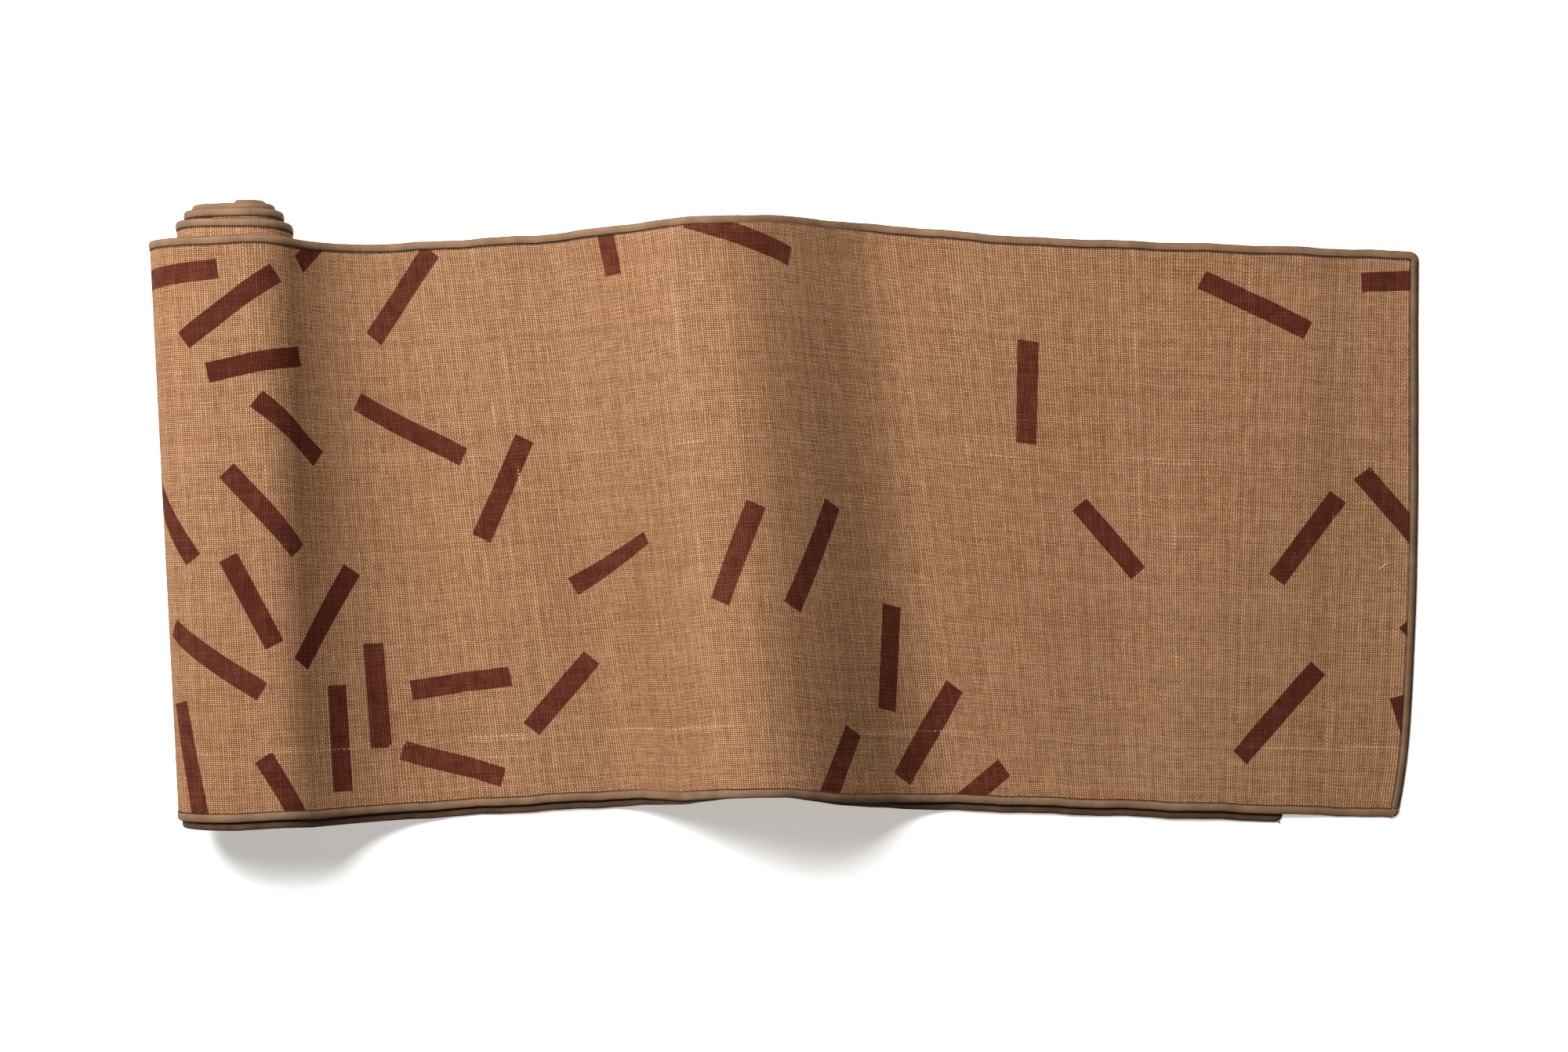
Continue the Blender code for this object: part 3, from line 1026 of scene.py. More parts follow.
class PrintedBars:
    """The shader group of the print: a mask of the bars with their ragged outlines."""

    name = "printed_bars"

    def build(self) -> bpy.types.NodeTree:
        """Makes the group once.

        Returns:
            The group's tree, with Mask and Ink outputs.
        """
        if self.name in bpy.data.node_groups:
            return bpy.data.node_groups[self.name]
        inputs = {
            "In Bar": ("Vector", None),
            "Bar Width": ("Float", Bar.width),
            "Bar Ink": ("Float", 0.5),
            "Place": ("Vector", None),
            "Weave": ("Float", 0.5),
        }
        wire, given, put = new_group(self.name, inputs, {"Mask": "Float", "Ink": "Float"})
        apart = wire.node("SeparateXYZ", {0: given.outputs["In Bar"]})
        by_length = wire.math("SUBTRACT", apart.outputs[2], wire.math("ABSOLUTE", apart.outputs[0]))
        half_width = wire.math("MULTIPLY", given.outputs["Bar Width"], 0.5)
        by_width = wire.math("SUBTRACT", half_width, wire.math("ABSOLUTE", apart.outputs[1]))
        inside = wire.math("MINIMUM", by_length, by_width)
        ragged = wire.math("SUBTRACT", wire.noise(given.outputs["Place"], 900.0, 2.0), 0.5)
        inside = wire.math("MULTIPLY_ADD", ragged, 0.0004, inside)
        threads = wire.math("SUBTRACT", given.outputs["Weave"], 0.6)
        inside = wire.math("MULTIPLY_ADD", threads, 0.0004, inside)
        wire.feed(put.inputs["Mask"], wire.ramp(inside, -0.00015, 0.00015))
        patchy = wire.noise(given.outputs["Place"], 120.0, 3.0)
        wire.feed(put.inputs["Ink"], wire.choose(0.5, given.outputs["Bar Ink"], patchy))
        return wire.tree


class SpunThread:
    """The shader group of a sewing thread: its ply, its loops, small changes of tone, and painted shade
    between the loops and where it turns down over the cut edge.
    """

    name = "spun_thread"

    def build(self) -> bpy.types.NodeTree:
        """Makes the group once.

        Returns:
            The group's tree, with Height, Shade and Lit outputs.
        """
        if self.name in bpy.data.node_groups:
            return bpy.data.node_groups[self.name]
        inputs = {
            "Place": ("Vector", None),
            "Ply": ("Float", 0.00035),
            "Loop Pitch": ("Float", 0.00062),
            "Loop Shade Depth": ("Float", 0.15),
            "Turned Shade From": ("Float", 0.0023),
            "Turned Shade Depth": ("Float", 0.0),
        }
        outputs = {"Height": "Float", "Shade": "Float", "Lit": "Float"}
        wire, given, put = new_group(self.name, inputs, outputs)
        apart = wire.node("SeparateXYZ", {0: given.outputs["Place"]})
        along, around = apart.outputs[0], apart.outputs[1]
        slanted = wire.math("MULTIPLY_ADD", around, 0.6, along)
        twists = wire.math("DIVIDE", slanted, given.outputs["Ply"])
        ply = wire.math("SINE", wire.math("MULTIPLY", twists, math.tau))
        wire.feed(put.inputs["Height"], wire.math("MULTIPLY_ADD", ply, 0.5, 0.5))
        wire.feed(put.inputs["Shade"], wire.noise(given.outputs["Place"], 60.0, 3.0))
        # Painted shade: the thread is darker in the hollows between its loops.
        looped = wire.math("PINGPONG", wire.math("DIVIDE", around, 0.0011), 1.0)
        leaned = wire.math("MULTIPLY_ADD", looped, 0.0005, along)
        turns = wire.math("MULTIPLY", wire.math("DIVIDE", leaned, given.outputs["Loop Pitch"]), math.tau)
        between = wire.ramp(wire.math("COSINE", turns), 0.0, 1.0)
        lit = wire.math("SUBTRACT", 1.0, wire.math("MULTIPLY", between, given.outputs["Loop Shade Depth"]))
        # Painted shade: the thread is darker where it turns down over the cut edge, away from the light.
        turned_down_shade = wire.ramp(around, given.outputs["Turned Shade From"], 0.0036)
        outer = wire.math("MULTIPLY", turned_down_shade, given.outputs["Turned Shade Depth"])
        wire.feed(put.inputs["Lit"], wire.math("MULTIPLY", lit, wire.math("SUBTRACT", 1.0, outer)))
        return wire.tree


# ---------------------------------------------------------------- finishes


def new_material(name: str) -> tuple[bpy.types.Material, Wiring, bpy.types.Node]:
    """A material with its Principled shader.

    Args:
        name: The material's name.

    Returns:
        The material, its wiring and its shader.
    """
    made = bpy.data.materials.new(name)
    made.use_nodes = True
    return made, Wiring(made.node_tree), made.node_tree.nodes["Principled BSDF"]


@dataclass(frozen=True)
class LinenFinish:
    """Natural flax in an open plain weave, with a matt brown print, painted shade on the threads' low parts
    and painted shadow in the open holes.
    """

    name: str = "natural_linen"
    flax_pale: tuple[float, ...] = (0.40, 0.225, 0.122, 1.0)
    flax_deep: tuple[float, ...] = (0.23, 0.105, 0.045, 1.0)
    slub_pale: tuple[float, ...] = (0.50, 0.33, 0.19, 1.0)
    # painted shadow, seen through the open holes of the weave
    hole_shadow: tuple[float, ...] = (0.045, 0.008, 0.002, 1.0)
    ink_thick: tuple[float, ...] = (0.066, 0.015, 0.009, 1.0)
    ink_thin: tuple[float, ...] = (0.150, 0.044, 0.025, 1.0)
    pitch_along: float = 0.00155
    pitch_across: float = 0.00117
    relief: float = 0.00040
    roughness: float = 0.88

    def material(self) -> bpy.types.Material:
        """Makes the material.

        Returns:
            The cloth's material, the same for both faces: a bar of no length leaves the back unprinted.
        """
        made, wire, shader = new_material(self.name)
        place = wire.node("UVMap", uv_map=CLOTH_MAP).outputs[0]
        in_bar = wire.node("Attribute", attribute_name=PRINT_PLACE).outputs["Vector"]
        bar_ink = wire.node("Attribute", attribute_name=PRINT_INK).outputs["Fac"]
        weave = wire.node("Group", node_tree=PlainWeave().build())
        for title, value in (
            ("Place", place),
            ("Pitch Along", self.pitch_along),
            ("Pitch Across", self.pitch_across),
        ):
            wire.feed(weave.inputs[title], value)
        bars = wire.node("Group", node_tree=PrintedBars().build())
        for title, value in (
            ("In Bar", in_bar),
            ("Bar Ink", bar_ink),
            ("Place", place),
            ("Weave", weave.outputs["Height"]),
        ):
            wire.feed(bars.inputs[title], value)
        clouds = wire.noise(place, 9.0, 3.0)
        cloudy = wire.math("MULTIPLY_ADD", clouds, 0.18, 0.085)
        tone = wire.math("MULTIPLY_ADD", weave.outputs["Shade"], 0.75, cloudy)
        flax = wire.mix(wire.ramp(tone, 0.25, 0.85), self.flax_deep, self.flax_pale)
        flax = wire.mix(wire.math("MULTIPLY", weave.outputs["Slub"], 0.22), flax, self.slub_pale)
        thinned = wire.math("MULTIPLY", weave.outputs["Shade"], 0.6)
        covering = wire.math("SUBTRACT", bars.outputs["Ink"], thinned)
        ink = wire.mix(wire.ramp(covering, -0.15, 0.45), self.ink_thin, self.ink_thick)
        ink = wire.mix(wire.math("MULTIPLY", weave.outputs["Slub"], 0.35), ink, self.slub_pale)
        dyed = wire.mix(bars.outputs["Mask"], flax, ink)
        # Painted shade: the threads' low parts, where they dip under the crossing threads, are darkened.
        low = wire.ramp(weave.outputs["Height"], 0.52, 0.98, 0.38, 1.17)
        shade_grey = wire.node("CombineColor", {0: low, 1: low, 2: low}).outputs[0]
        shaded = wire.mix(1.0, dyed, shade_grey, "MULTIPLY")
        # Painted shadow: the open holes between the threads take a near-black brown, the shade seen through
        # them.
        hole_shadow_share = wire.math("MULTIPLY", weave.outputs["Gap"], 0.95)
        wire.feed(shader.inputs["Base Color"], wire.mix(hole_shadow_share, shaded, self.hole_shadow))
        rough = wire.math("MULTIPLY_ADD", weave.outputs["Shade"], 0.10, self.roughness - 0.05)
        wire.feed(shader.inputs["Roughness"], rough)
        shader.inputs["Specular IOR Level"].default_value = 0.03
        raised = {"Height": weave.outputs["Height"], "Strength": 0.8, "Distance": self.relief}
        bump = wire.node("Bump", raised)
        wire.feed(shader.inputs["Normal"], bump.outputs[0])
        return made


@dataclass(frozen=True)
class ThreadFinish:
    """Spun sewing thread, laid close in even loops.

    Attributes:
        name: The material's name.
        pale: The thread's colour in its clean parts.
        deep: The thread's colour in its darker, worn parts, which lie at random.
        roughness: How matt it is.
        loop_pitch: Distance from one loop to the next.
        loop_shade_depth: How dark the painted shade in the hollows between two loops is, from 0 to 1.
        turned_shade_from: How far out the thread starts to turn down over the cut edge, where its painted
            shade starts.
        turned_shade_depth: How dark the painted shade is where it has turned down, from 0 to 1.
    """

    name: str
    pale: tuple[float, ...]
    deep: tuple[float, ...]
    roughness: float = 0.62
    loop_pitch: float = 0.00062
    loop_shade_depth: float = 0.15
    turned_shade_from: float = 0.0023
    turned_shade_depth: float = 0.0

    def material(self) -> bpy.types.Material:
        """Makes the material.

        Returns:
            The thread's material.
        """
        made, wire, shader = new_material(self.name)
        place = wire.node("UVMap", uv_map=CLOTH_MAP).outputs[0]
        thread = wire.node("Group", {"Place": place}, node_tree=SpunThread().build())
        for title, value in (
            ("Loop Pitch", self.loop_pitch),
            ("Loop Shade Depth", self.loop_shade_depth),
            ("Turned Shade From", self.turned_shade_from),
            ("Turned Shade Depth", self.turned_shade_depth),
        ):
            wire.feed(thread.inputs[title], value)
        shade = wire.ramp(thread.outputs["Shade"], 0.2, 0.8)
        colour = wire.mix(shade, self.deep, self.pale)
        # Painted shade from the group's Lit output, between the loops and over the turned-down edge.
        lit = thread.outputs["Lit"]
        shade_grey = wire.node("CombineColor", {0: lit, 1: lit, 2: lit}).outputs[0]
        wire.feed(shader.inputs["Base Color"], wire.mix(1.0, colour, shade_grey, "MULTIPLY"))
        rough = wire.math("MULTIPLY_ADD", thread.outputs["Shade"], 0.15, self.roughness - 0.07)
        wire.feed(shader.inputs["Roughness"], rough)
        shader.inputs["Specular IOR Level"].default_value = 0.12
        bump = wire.node("Bump", {"Height": thread.outputs["Height"], "Strength": 0.5, "Distance": 0.00008})
        wire.feed(shader.inputs["Normal"], bump.outputs[0])
        return made


LINEN = LinenFinish()
# Painted shade: darker between the loops and where the thread turns down over the cut edge.
LOOPER = ThreadFinish(
    "looper_cover",
    (0.235, 0.134, 0.072, 1.0),
    (0.140, 0.076, 0.040, 1.0),
    loop_shade_depth=0.30,
    turned_shade_depth=0.68,
)
# Painted shade: the ends' covers turn dark over most of their width, where they turn down away from the key
# light.
END_LOOPER = ThreadFinish(
    "end_looper_cover",
    LOOPER.pale,
    LOOPER.deep,
    loop_shade_depth=0.30,
    turned_shade_from=0.0003,
    turned_shade_depth=0.90,
)
# The looper thread's brown, made darker than the upper cover with painted shade, as the back faces lie
# between the two layers; its loops get deeper painted shade too.
UNDER_LOOPER_SHADED = ThreadFinish(
    "under_looper_shaded_cover",
    (0.125, 0.066, 0.035, 1.0),
    (0.060, 0.031, 0.017, 1.0),
    loop_pitch=0.00105,
    loop_shade_depth=0.75,
    turned_shade_depth=0.55,
)
NEEDLE = ThreadFinish("needle_stitches", (0.082, 0.045, 0.026, 1.0), (0.032, 0.017, 0.010, 1.0), 0.72)
TAIL = ThreadFinish("chained_tail", (0.26, 0.110, 0.065, 1.0), (0.11, 0.050, 0.030, 1.0))
FIBRE = ThreadFinish("bleached_fibre", (0.78, 0.74, 0.66, 1.0), (0.66, 0.58, 0.46, 1.0), 0.50)


# ---------------------------------------------------------------- meshes


def new_piece(
    name: str,
    points: np.ndarray,
    faces: Sequence[Sequence[int]],
    material: bpy.types.Material,
    uvs: np.ndarray | None = None,
) -> bpy.types.Object:
    """A smooth mesh piece in the scene.

    Args:
        name: The piece's name.
        points: Its vertices, in the row frame.
        faces: Its faces.
        material: Its finish.
        uvs: The place of each vertex on the cloth or along the thread, in metres.

    Returns:
        The object.
    """
    data = bpy.data.meshes.new(name)
    data.from_pydata(points.tolist(), [], [tuple(face) for face in faces])
    if uvs is not None:
        layer = data.uv_layers.new(name=CLOTH_MAP)
        corners = np.empty(len(data.loops), np.int32)
        data.loops.foreach_get("vertex_index", corners)
        layer.data.foreach_set("uv", uvs[corners].astype(np.float32).ravel())
    data.shade_smooth()
    data.materials.append(material)
    made = bpy.data.objects.new(name, data)
    bpy.context.scene.collection.objects.link(made)
    return made


def ring_faces(rings: int, sides: int, start: int = 0, capped: bool = True) -> list[tuple[int, ...]]:
    """The faces of a closed tube through rings of points.

    Args:
        rings: How many rings.
        sides: Points in each ring.
        start: The first point's number.
        capped: Whether the two ends are closed.

    Returns:
        The faces, with the two ends if they are closed.
    """
    faces = []
    for ring in range(rings - 1):
        low, high = start + ring * sides, start + (ring + 1) * sides
        for side in range(sides):
            after = (side + 1) % sides
            faces.append((low + side, low + after, high + after, high + side))
    if capped:
        faces.append(tuple(start + side for side in reversed(range(sides))))
        faces.append(tuple(start + (rings - 1) * sides + side for side in range(sides)))
    return faces


@dataclass
class ClothPanel:
    """The linen itself, one thin closed sheet from end to end."""

    strip: Strip
    shift: Vector
    front_columns: int = 74
    back_columns: int = 24
    bake_strips: int = 4

    def shares(self, columns: int) -> list[float]:
        """Where the columns lie, from far (0) to near (1), closer together at the edges.

        Args:
            columns: How many columns.

        Returns:
            The shares, in order.
        """
        edge = 0.0035 / (2 * self.strip.half_width)
        inner = steps(2 * edge, 1 - 2 * edge, columns - 4)
        return [0.0, edge, *inner, 1 - 2 * edge, 1 - edge, 1.0]

    def build(self, bars: BarPrint) -> bpy.types.Object:
        """Makes the sheet with its print depths.

        Args:
            bars: The print.

        Returns:
            The cloth piece.
        """
        front, back = self.shares(self.front_columns), self.shares(self.back_columns)
        ring = [(share, 1) for share in front] + [(share, -1) for share in reversed(back)]
        half = self.strip.thickness / 2
        points, places = [], []
        for row, along in zip(self.strip.rows, self.strip.places):
            for share, face in ring:
                points.append(self.strip.point(row, share, face * half) + self.shift)
                places.append((along, (0.5 - share) * 2 * self.strip.half_width))
        uvs = np.array(places)
        sides = len(ring)
        faces = ring_faces(len(self.strip.rows), sides)
        cloth = new_piece("linen_runner", np.array(points), faces, LINEN.material(), uvs)
        printed = np.tile(np.array([face for _, face in ring]) > 0, len(self.strip.rows))
        bars.mark(cloth.data, uvs, printed)
        self.lay_out_bake(cloth, uvs, printed)
        return cloth

    def lay_out_bake(self, cloth: bpy.types.Object, uvs: np.ndarray, printed: np.ndarray) -> None:
        """Lays the two faces of the cloth in strips on a square map.

        Args:
            cloth: The cloth piece.
            uvs: Each vertex's place on the flat cloth.
            printed: Whether each vertex is on the printed face.
        """
        data = cloth.data
        layer = data.uv_layers.new(name=BAKE_MAP)
        corners = np.empty(len(data.loops), np.int32)
        data.loops.foreach_get("vertex_index", corners)
        starts = np.array([polygon.loop_start for polygon in data.polygons])
        counts = np.array([polygon.loop_total for polygon in data.polygons])
        longest = self.strip.places[-1]
        run = longest / self.bake_strips
        middles = np.add.reduceat(uvs[corners, 0], starts) / counts
        front = np.add.reduceat(printed[corners].astype(float), starts) / counts > 0.5
        column = np.minimum((middles / run).astype(int), self.bake_strips - 1)
        slot = np.repeat(column + np.where(front, 0, self.bake_strips), counts)
        slots = 2 * self.bake_strips
        width, height = 0.98, 1 / slots
        local = (uvs[corners, 0] - np.repeat(column, counts) * run) / run
        over = uvs[corners, 1] / (2 * self.strip.half_width) + 0.5
        laid = np.stack([0.01 + width * local, (slot + 0.04 + 0.92 * over) * height], axis=1)
        layer.data.foreach_set("uv", laid.astype(np.float32).ravel())
        data.uv_layers.active = data.uv_layers[CLOTH_MAP]
        data.uv_layers[CLOTH_MAP].active_render = True


@dataclass
class EdgePath:
    """A line of frames along one cut edge: where it is, outwards and up."""

    origins: np.ndarray
    outs: np.ndarray
    ups: np.ndarray

    def __post_init__(self) -> None:
        """Measures the distance along the line."""
        lengths = np.linalg.norm(np.diff(self.origins, axis=0), axis=1)
        self.along = np.concatenate([[0.0], np.cumsum(lengths)])

    @property
    def length(self) -> float:
        """The line's whole length."""
        return float(self.along[-1])

    def at(self, along: np.ndarray) -> tuple[np.ndarray, np.ndarray, np.ndarray]:
        """The frames at some distances along the line.

        Args:
            along: Distances along the line.

        Returns:
            The origins, the outward directions and the upward directions.
        """
        along = np.clip(along, 0.0, self.length)
        found = []
        for values in (self.origins, self.outs, self.ups):
            by_axis = [np.interp(along, self.along, values[:, axis]) for axis in range(3)]
            found.append(np.stack(by_axis, axis=1))
        return found[0], found[1], found[2]

    def points(self, along: np.ndarray, out: np.ndarray | float, up: np.ndarray | float) -> np.ndarray:
        """Points beside the line, by their distances outwards and up.

        Args:
            along: Distances along the line.
            out: Distances outwards.
            up: Distances up.

        Returns:
            The points.
        """
        origins, outs, ups = self.at(along)
        out, up = np.broadcast_to(out, along.shape), np.broadcast_to(up, along.shape)
        return origins + outs * out[:, None] + ups * up[:, None]


def edge_path(points: Sequence[Vector], ups: Sequence[Vector], inside: Sequence[Vector]) -> EdgePath:
    """The frames along an edge.

    Args:
        points: The cut edge's points, in order.
        ups: The printed face's normal at each.
        inside: A point of the cloth beside each.

    Returns:
        The path, whose outwards direction points away from the cloth.
    """
    outs = []
    for index, up in enumerate(ups):
        ahead = points[min(index + 1, len(points) - 1)] - points[max(index - 1, 0)]
        outs.append(ahead.cross(up).normalized())
    half_way = len(points) // 2
    if outs[half_way].dot(points[half_way] - inside[half_way]) < 0:
        outs = [-out for out in outs]
    arrays = [np.array([list(vector) for vector in given]) for given in (points, outs, ups)]
    return EdgePath(*arrays)


@dataclass
class Overlock:
    """The three-thread overlock of one edge: covers on both faces and a row of needle stitches."""

    name: str
    path: EdgePath
    thickness: float
    upper_finish: ThreadFinish = LOOPER
    band: float = 0.0042
    wrap: float = 0.0009
    rib_pitch: float = 0.00062
    rib_height: float = 0.00005
    stitch_pitch: float = 0.00105
    stitch_width: float = 0.0016

    def cover(
        self, name: str, face: Face, slant: float, chevron: float, finish: ThreadFinish
    ) -> bpy.types.Object:
        """One looper thread, laid rib by rib from the needle line out over the cut edge.

        Args:
            name: The piece's name.
            face: The face of the cloth that it covers.
            slant: How far each rib leans along the edge over the band's width.
            chevron: How far the ribs' middle runs ahead of their ends.
            finish: The thread's finish.

        Returns:
            The piece.
        """
        half = self.thickness / 2
        outline = (
            (-self.band, half + 0.00006),
            (-self.band * 0.84, half + 0.00036),
            (-self.band * 0.55, half + 0.00058),
            (-self.band * 0.24, half + 0.00050),
            (self.wrap * 0.15, half + 0.00022),
            (self.wrap * 0.80, half * 0.60),
            (self.wrap, 0.00003),
            (self.wrap * 0.30, 0.00003),
            (0.00002, half + 0.00002),
        )
        ribs = int(self.path.length / self.rib_pitch)
        along = np.linspace(0.0, self.path.length, 2 * ribs + 1)
        swell = np.where(np.arange(len(along)) % 2 == 0, -1.0, 1.0) * self.rib_height
        wobble = 0.5 * self.rib_height * np.sin(along * 830) + 0.00005 * np.sin(along * 97)
        rings = []
        for index, (out, up) in enumerate(outline):
            share = min(1.0, index / 6)
            lean = slant * (share - 0.5) + chevron * (1 - abs(2 * share - 1))
            raised = swell if 0 < index < 6 else 0.4 * swell if index in (0, 6) else 0 * swell
            outer = wobble if index in (4, 5, 6) else 0 * wobble
            outwards = out + outer + (raised * 0.5 if index > 3 else 0)
            rings.append(self.path.points(along + lean, outwards, face.value * (up + raised)))
        points = np.stack(rings, axis=1).reshape(-1, 3)
        around = np.linspace(0, self.band + self.wrap, len(outline))
        uvs = np.stack([np.repeat(along, len(outline)), np.tile(around, len(along))], axis=1)
        faces = ring_faces(len(along), len(outline))
        return new_piece(name, points, faces, finish.material(), uvs)

    def stitches(self) -> bpy.types.Object:
        """The needle thread: a low line with a slanting stitch at every step.

        Returns:
            The piece.
        """
        low = self.thickness / 2
        line = -self.band - 0.00035
        count = max(2, int(self.path.length / 0.002))
        along = np.linspace(0.0, self.path.length, count + 1)
        outline = ((-1e-4, -1e-4), (-1e-4, 8e-5), (1e-4, 8e-5), (1e-4, -1e-4))
        corners = [(out, low + up) for out, up in outline]
        core = np.stack([self.path.points(along, line + out, up) for out, up in corners], axis=1)
        points, faces = [core.reshape(-1, 3)], ring_faces(len(along), 4)
        uvs = [np.stack([np.repeat(along, 4), np.tile(np.arange(4) * 0.0004, len(along))], axis=1)]
        begun = len(along) * 4
        number = int(self.path.length / self.stitch_pitch)
        middles = (np.arange(number) + 0.5) * self.path.length / number
        reach, fat = self.stitch_width / 2, 0.00026
        beads = (
            (-0.00018, -reach, 0.00002),
            (-fat, 0.0001, 0.00010),
            (0.0, 0.0001, 0.00036),
            (fat, 0.0001, 0.00010),
            (0.00018, reach, 0.00042),
        )
        stitch = np.stack(
            [self.path.points(middles + ahead, line + out, low + up) for ahead, out, up in beads], axis=1
        )
        points.append(stitch.reshape(-1, 3))
        uvs.append(np.stack([np.repeat(middles, 5), np.tile(np.arange(5) * 0.0003, number)], axis=1))
        for index in range(number):
            first = begun + 5 * index
            for corner in ((0, 1, 2), (0, 2, 3), (4, 2, 1), (4, 3, 2), (0, 3, 1), (4, 1, 3)):
                faces.append(tuple(first + each for each in corner))
        name = f"{self.name}_needle_stitches"
        return new_piece(name, np.concatenate(points), faces, NEEDLE.material(), np.concatenate(uvs))

    def build(self) -> list[bpy.types.Object]:
        """Makes the three threads, attaches them and hides the imported parts that they stand for.

        Returns:
            The pieces.
        """
        upper = self.cover(f"{self.name}_upper_cover", Face.PRINTED, 0.0007, 0.0, self.upper_finish)
        lower = self.cover(f"{self.name}_lower_cover", Face.BACK, -0.0004, 0.0011, UNDER_LOOPER_SHADED)
        row = self.stitches()
        for piece, node, finish in (
            (upper, "upper_looper", Finish.LOOPER),
            (lower, "lower_looper", Finish.LOOPER),
            (row, "needle_thread", Finish.NEEDLE),
        ):
            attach(piece, "root")
            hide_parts(f"{self.name}_{node}")
        return [upper, lower, row]


@dataclass
class Strand:
    """One fine round thread through a line of points."""

    radius: float
    sides: int = 5

    def mesh(self, line: np.ndarray, start: int) -> tuple[np.ndarray, list[tuple[int, ...]], np.ndarray]:
        """The strand's points, faces and thread places.

        Args:
            line: Its middle line.
            start: The number that its first point gets.

        Returns:
            The points, the faces and each point's place along and round the thread.
        """
        ahead = np.gradient(line, axis=0)
        ahead /= np.linalg.norm(ahead, axis=1)[:, None]
        aside = np.cross(ahead, (0.0, 0.0, 1.0))
        aside /= np.maximum(np.linalg.norm(aside, axis=1), 1e-9)[:, None]
        over = np.cross(aside, ahead)
        from_end = np.minimum(np.linspace(0, 1, len(line)), np.linspace(1, 0, len(line)))
        taper = np.minimum(1.0, 0.35 + 4 * from_end)
        rings = []
        for side in range(self.sides):
            angle = 2 * math.pi * side / self.sides
            spoke = aside * math.cos(angle) + over * math.sin(angle)
            rings.append(line + spoke * (self.radius * taper)[:, None])
        points = np.stack(rings, axis=1).reshape(-1, 3)
        run = np.concatenate([[0.0], np.cumsum(np.linalg.norm(np.diff(line, axis=0), axis=1))])
        around = np.tile(np.arange(self.sides) * 0.0002, len(line))
        uvs = np.stack([np.repeat(run, self.sides), around], axis=1)
        return points, ring_faces(len(line), self.sides, start), uvs


@dataclass
class CornerTail:
    """The short chained end of the overlock threads at one corner."""

    name: str
    start: Vector
    way: Vector
    up: Vector
    length: float
    droop: float
    thread_radius: float = 0.00034
    twist_radius: float = 0.00030
    turns: float = 2.0

    def build(self) -> bpy.types.Object:
        """Makes two strands twisted round each other, bent down over the cut edge.

        Returns:
            The piece.
        """
        share = np.linspace(0.0, 1.0, 26)
        side = self.way.cross(self.up).normalized()
        start, way, up, side = (np.array(list(vector)) for vector in (self.start, self.way, self.up, side))
        middle = start + np.outer(share * self.length, way) - np.outer(share**3 * self.droop, up)
        points, faces, uvs = [], [], []
        begun = 0
        for phase in (0.0, math.pi):
            angle = 2 * math.pi * self.turns * share + phase
            radius = self.twist_radius * (1 - 0.4 * share)
            line = middle + np.outer(np.cos(angle) * radius, side) + np.outer(np.sin(angle) * radius, up)
            mesh = Strand(self.thread_radius, 7).mesh(line, begun)
            points.append(mesh[0])
            faces += mesh[1]
            uvs.append(mesh[2])
            begun += len(mesh[0])
        name = f"{self.name}_chain"
        piece = new_piece(name, np.concatenate(points), faces, TAIL.material(), np.concatenate(uvs))
        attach(piece, "root")
        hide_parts(self.name)
        return piece


@dataclass
class LooseFibres:
    """A few short bleached fibres caught on the printed face."""

    strip: Strip
    shift: Vector
    radius: float = 0.00018
    spots: tuple[tuple[float, float, float, float], ...] = (
        # along, across, length, heading in degrees
        (0.022, -0.024, 0.0090, 130.0),
        (0.676, 0.117, 0.0032, 5.0),
        (0.236, 0.118, 0.0024, 100.0),
    )

    def build(self) -> bpy.types.Object:
        """Makes the fibres.

        Returns:
            One piece that holds them all.
        """
        points, faces, uvs = [], [], []
        begun = 0
        places = np.array(self.strip.places)
        for along, across, length, turned in self.spots:
            index = int(np.searchsorted(places, along))
            row, other = self.strip.rows[index], self.strip.rows[index + 4]
            share = 0.5 - across / (2 * self.strip.half_width)
            lift = self.strip.thickness / 2 + self.radius
            start = self.strip.point(row, share, lift) + self.shift
            ahead = (self.strip.point(other, share, lift) + self.shift - start).normalized()
            side = (row.far - row.near).normalized()
            angle = math.radians(turned)
            way = ahead * math.cos(angle) + side * math.sin(angle)
            bend = side * math.cos(angle) - ahead * math.sin(angle)
            along_it = steps(0, 1, 12)
            line = [start + length * (way * step + bend * 0.25 * step**2) for step in along_it]
            mesh = Strand(self.radius, 4).mesh(np.array([list(point) for point in line]), begun)
            points.append(mesh[0])
            faces += mesh[1]
            uvs.append(mesh[2])
            begun += len(mesh[0])
        joined = np.concatenate(points)
        piece = new_piece("loose_fibres", joined, faces, FIBRE.material(), np.concatenate(uvs))
        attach(piece, "root")
        return piece


# ---------------------------------------------------------------- the whole runner


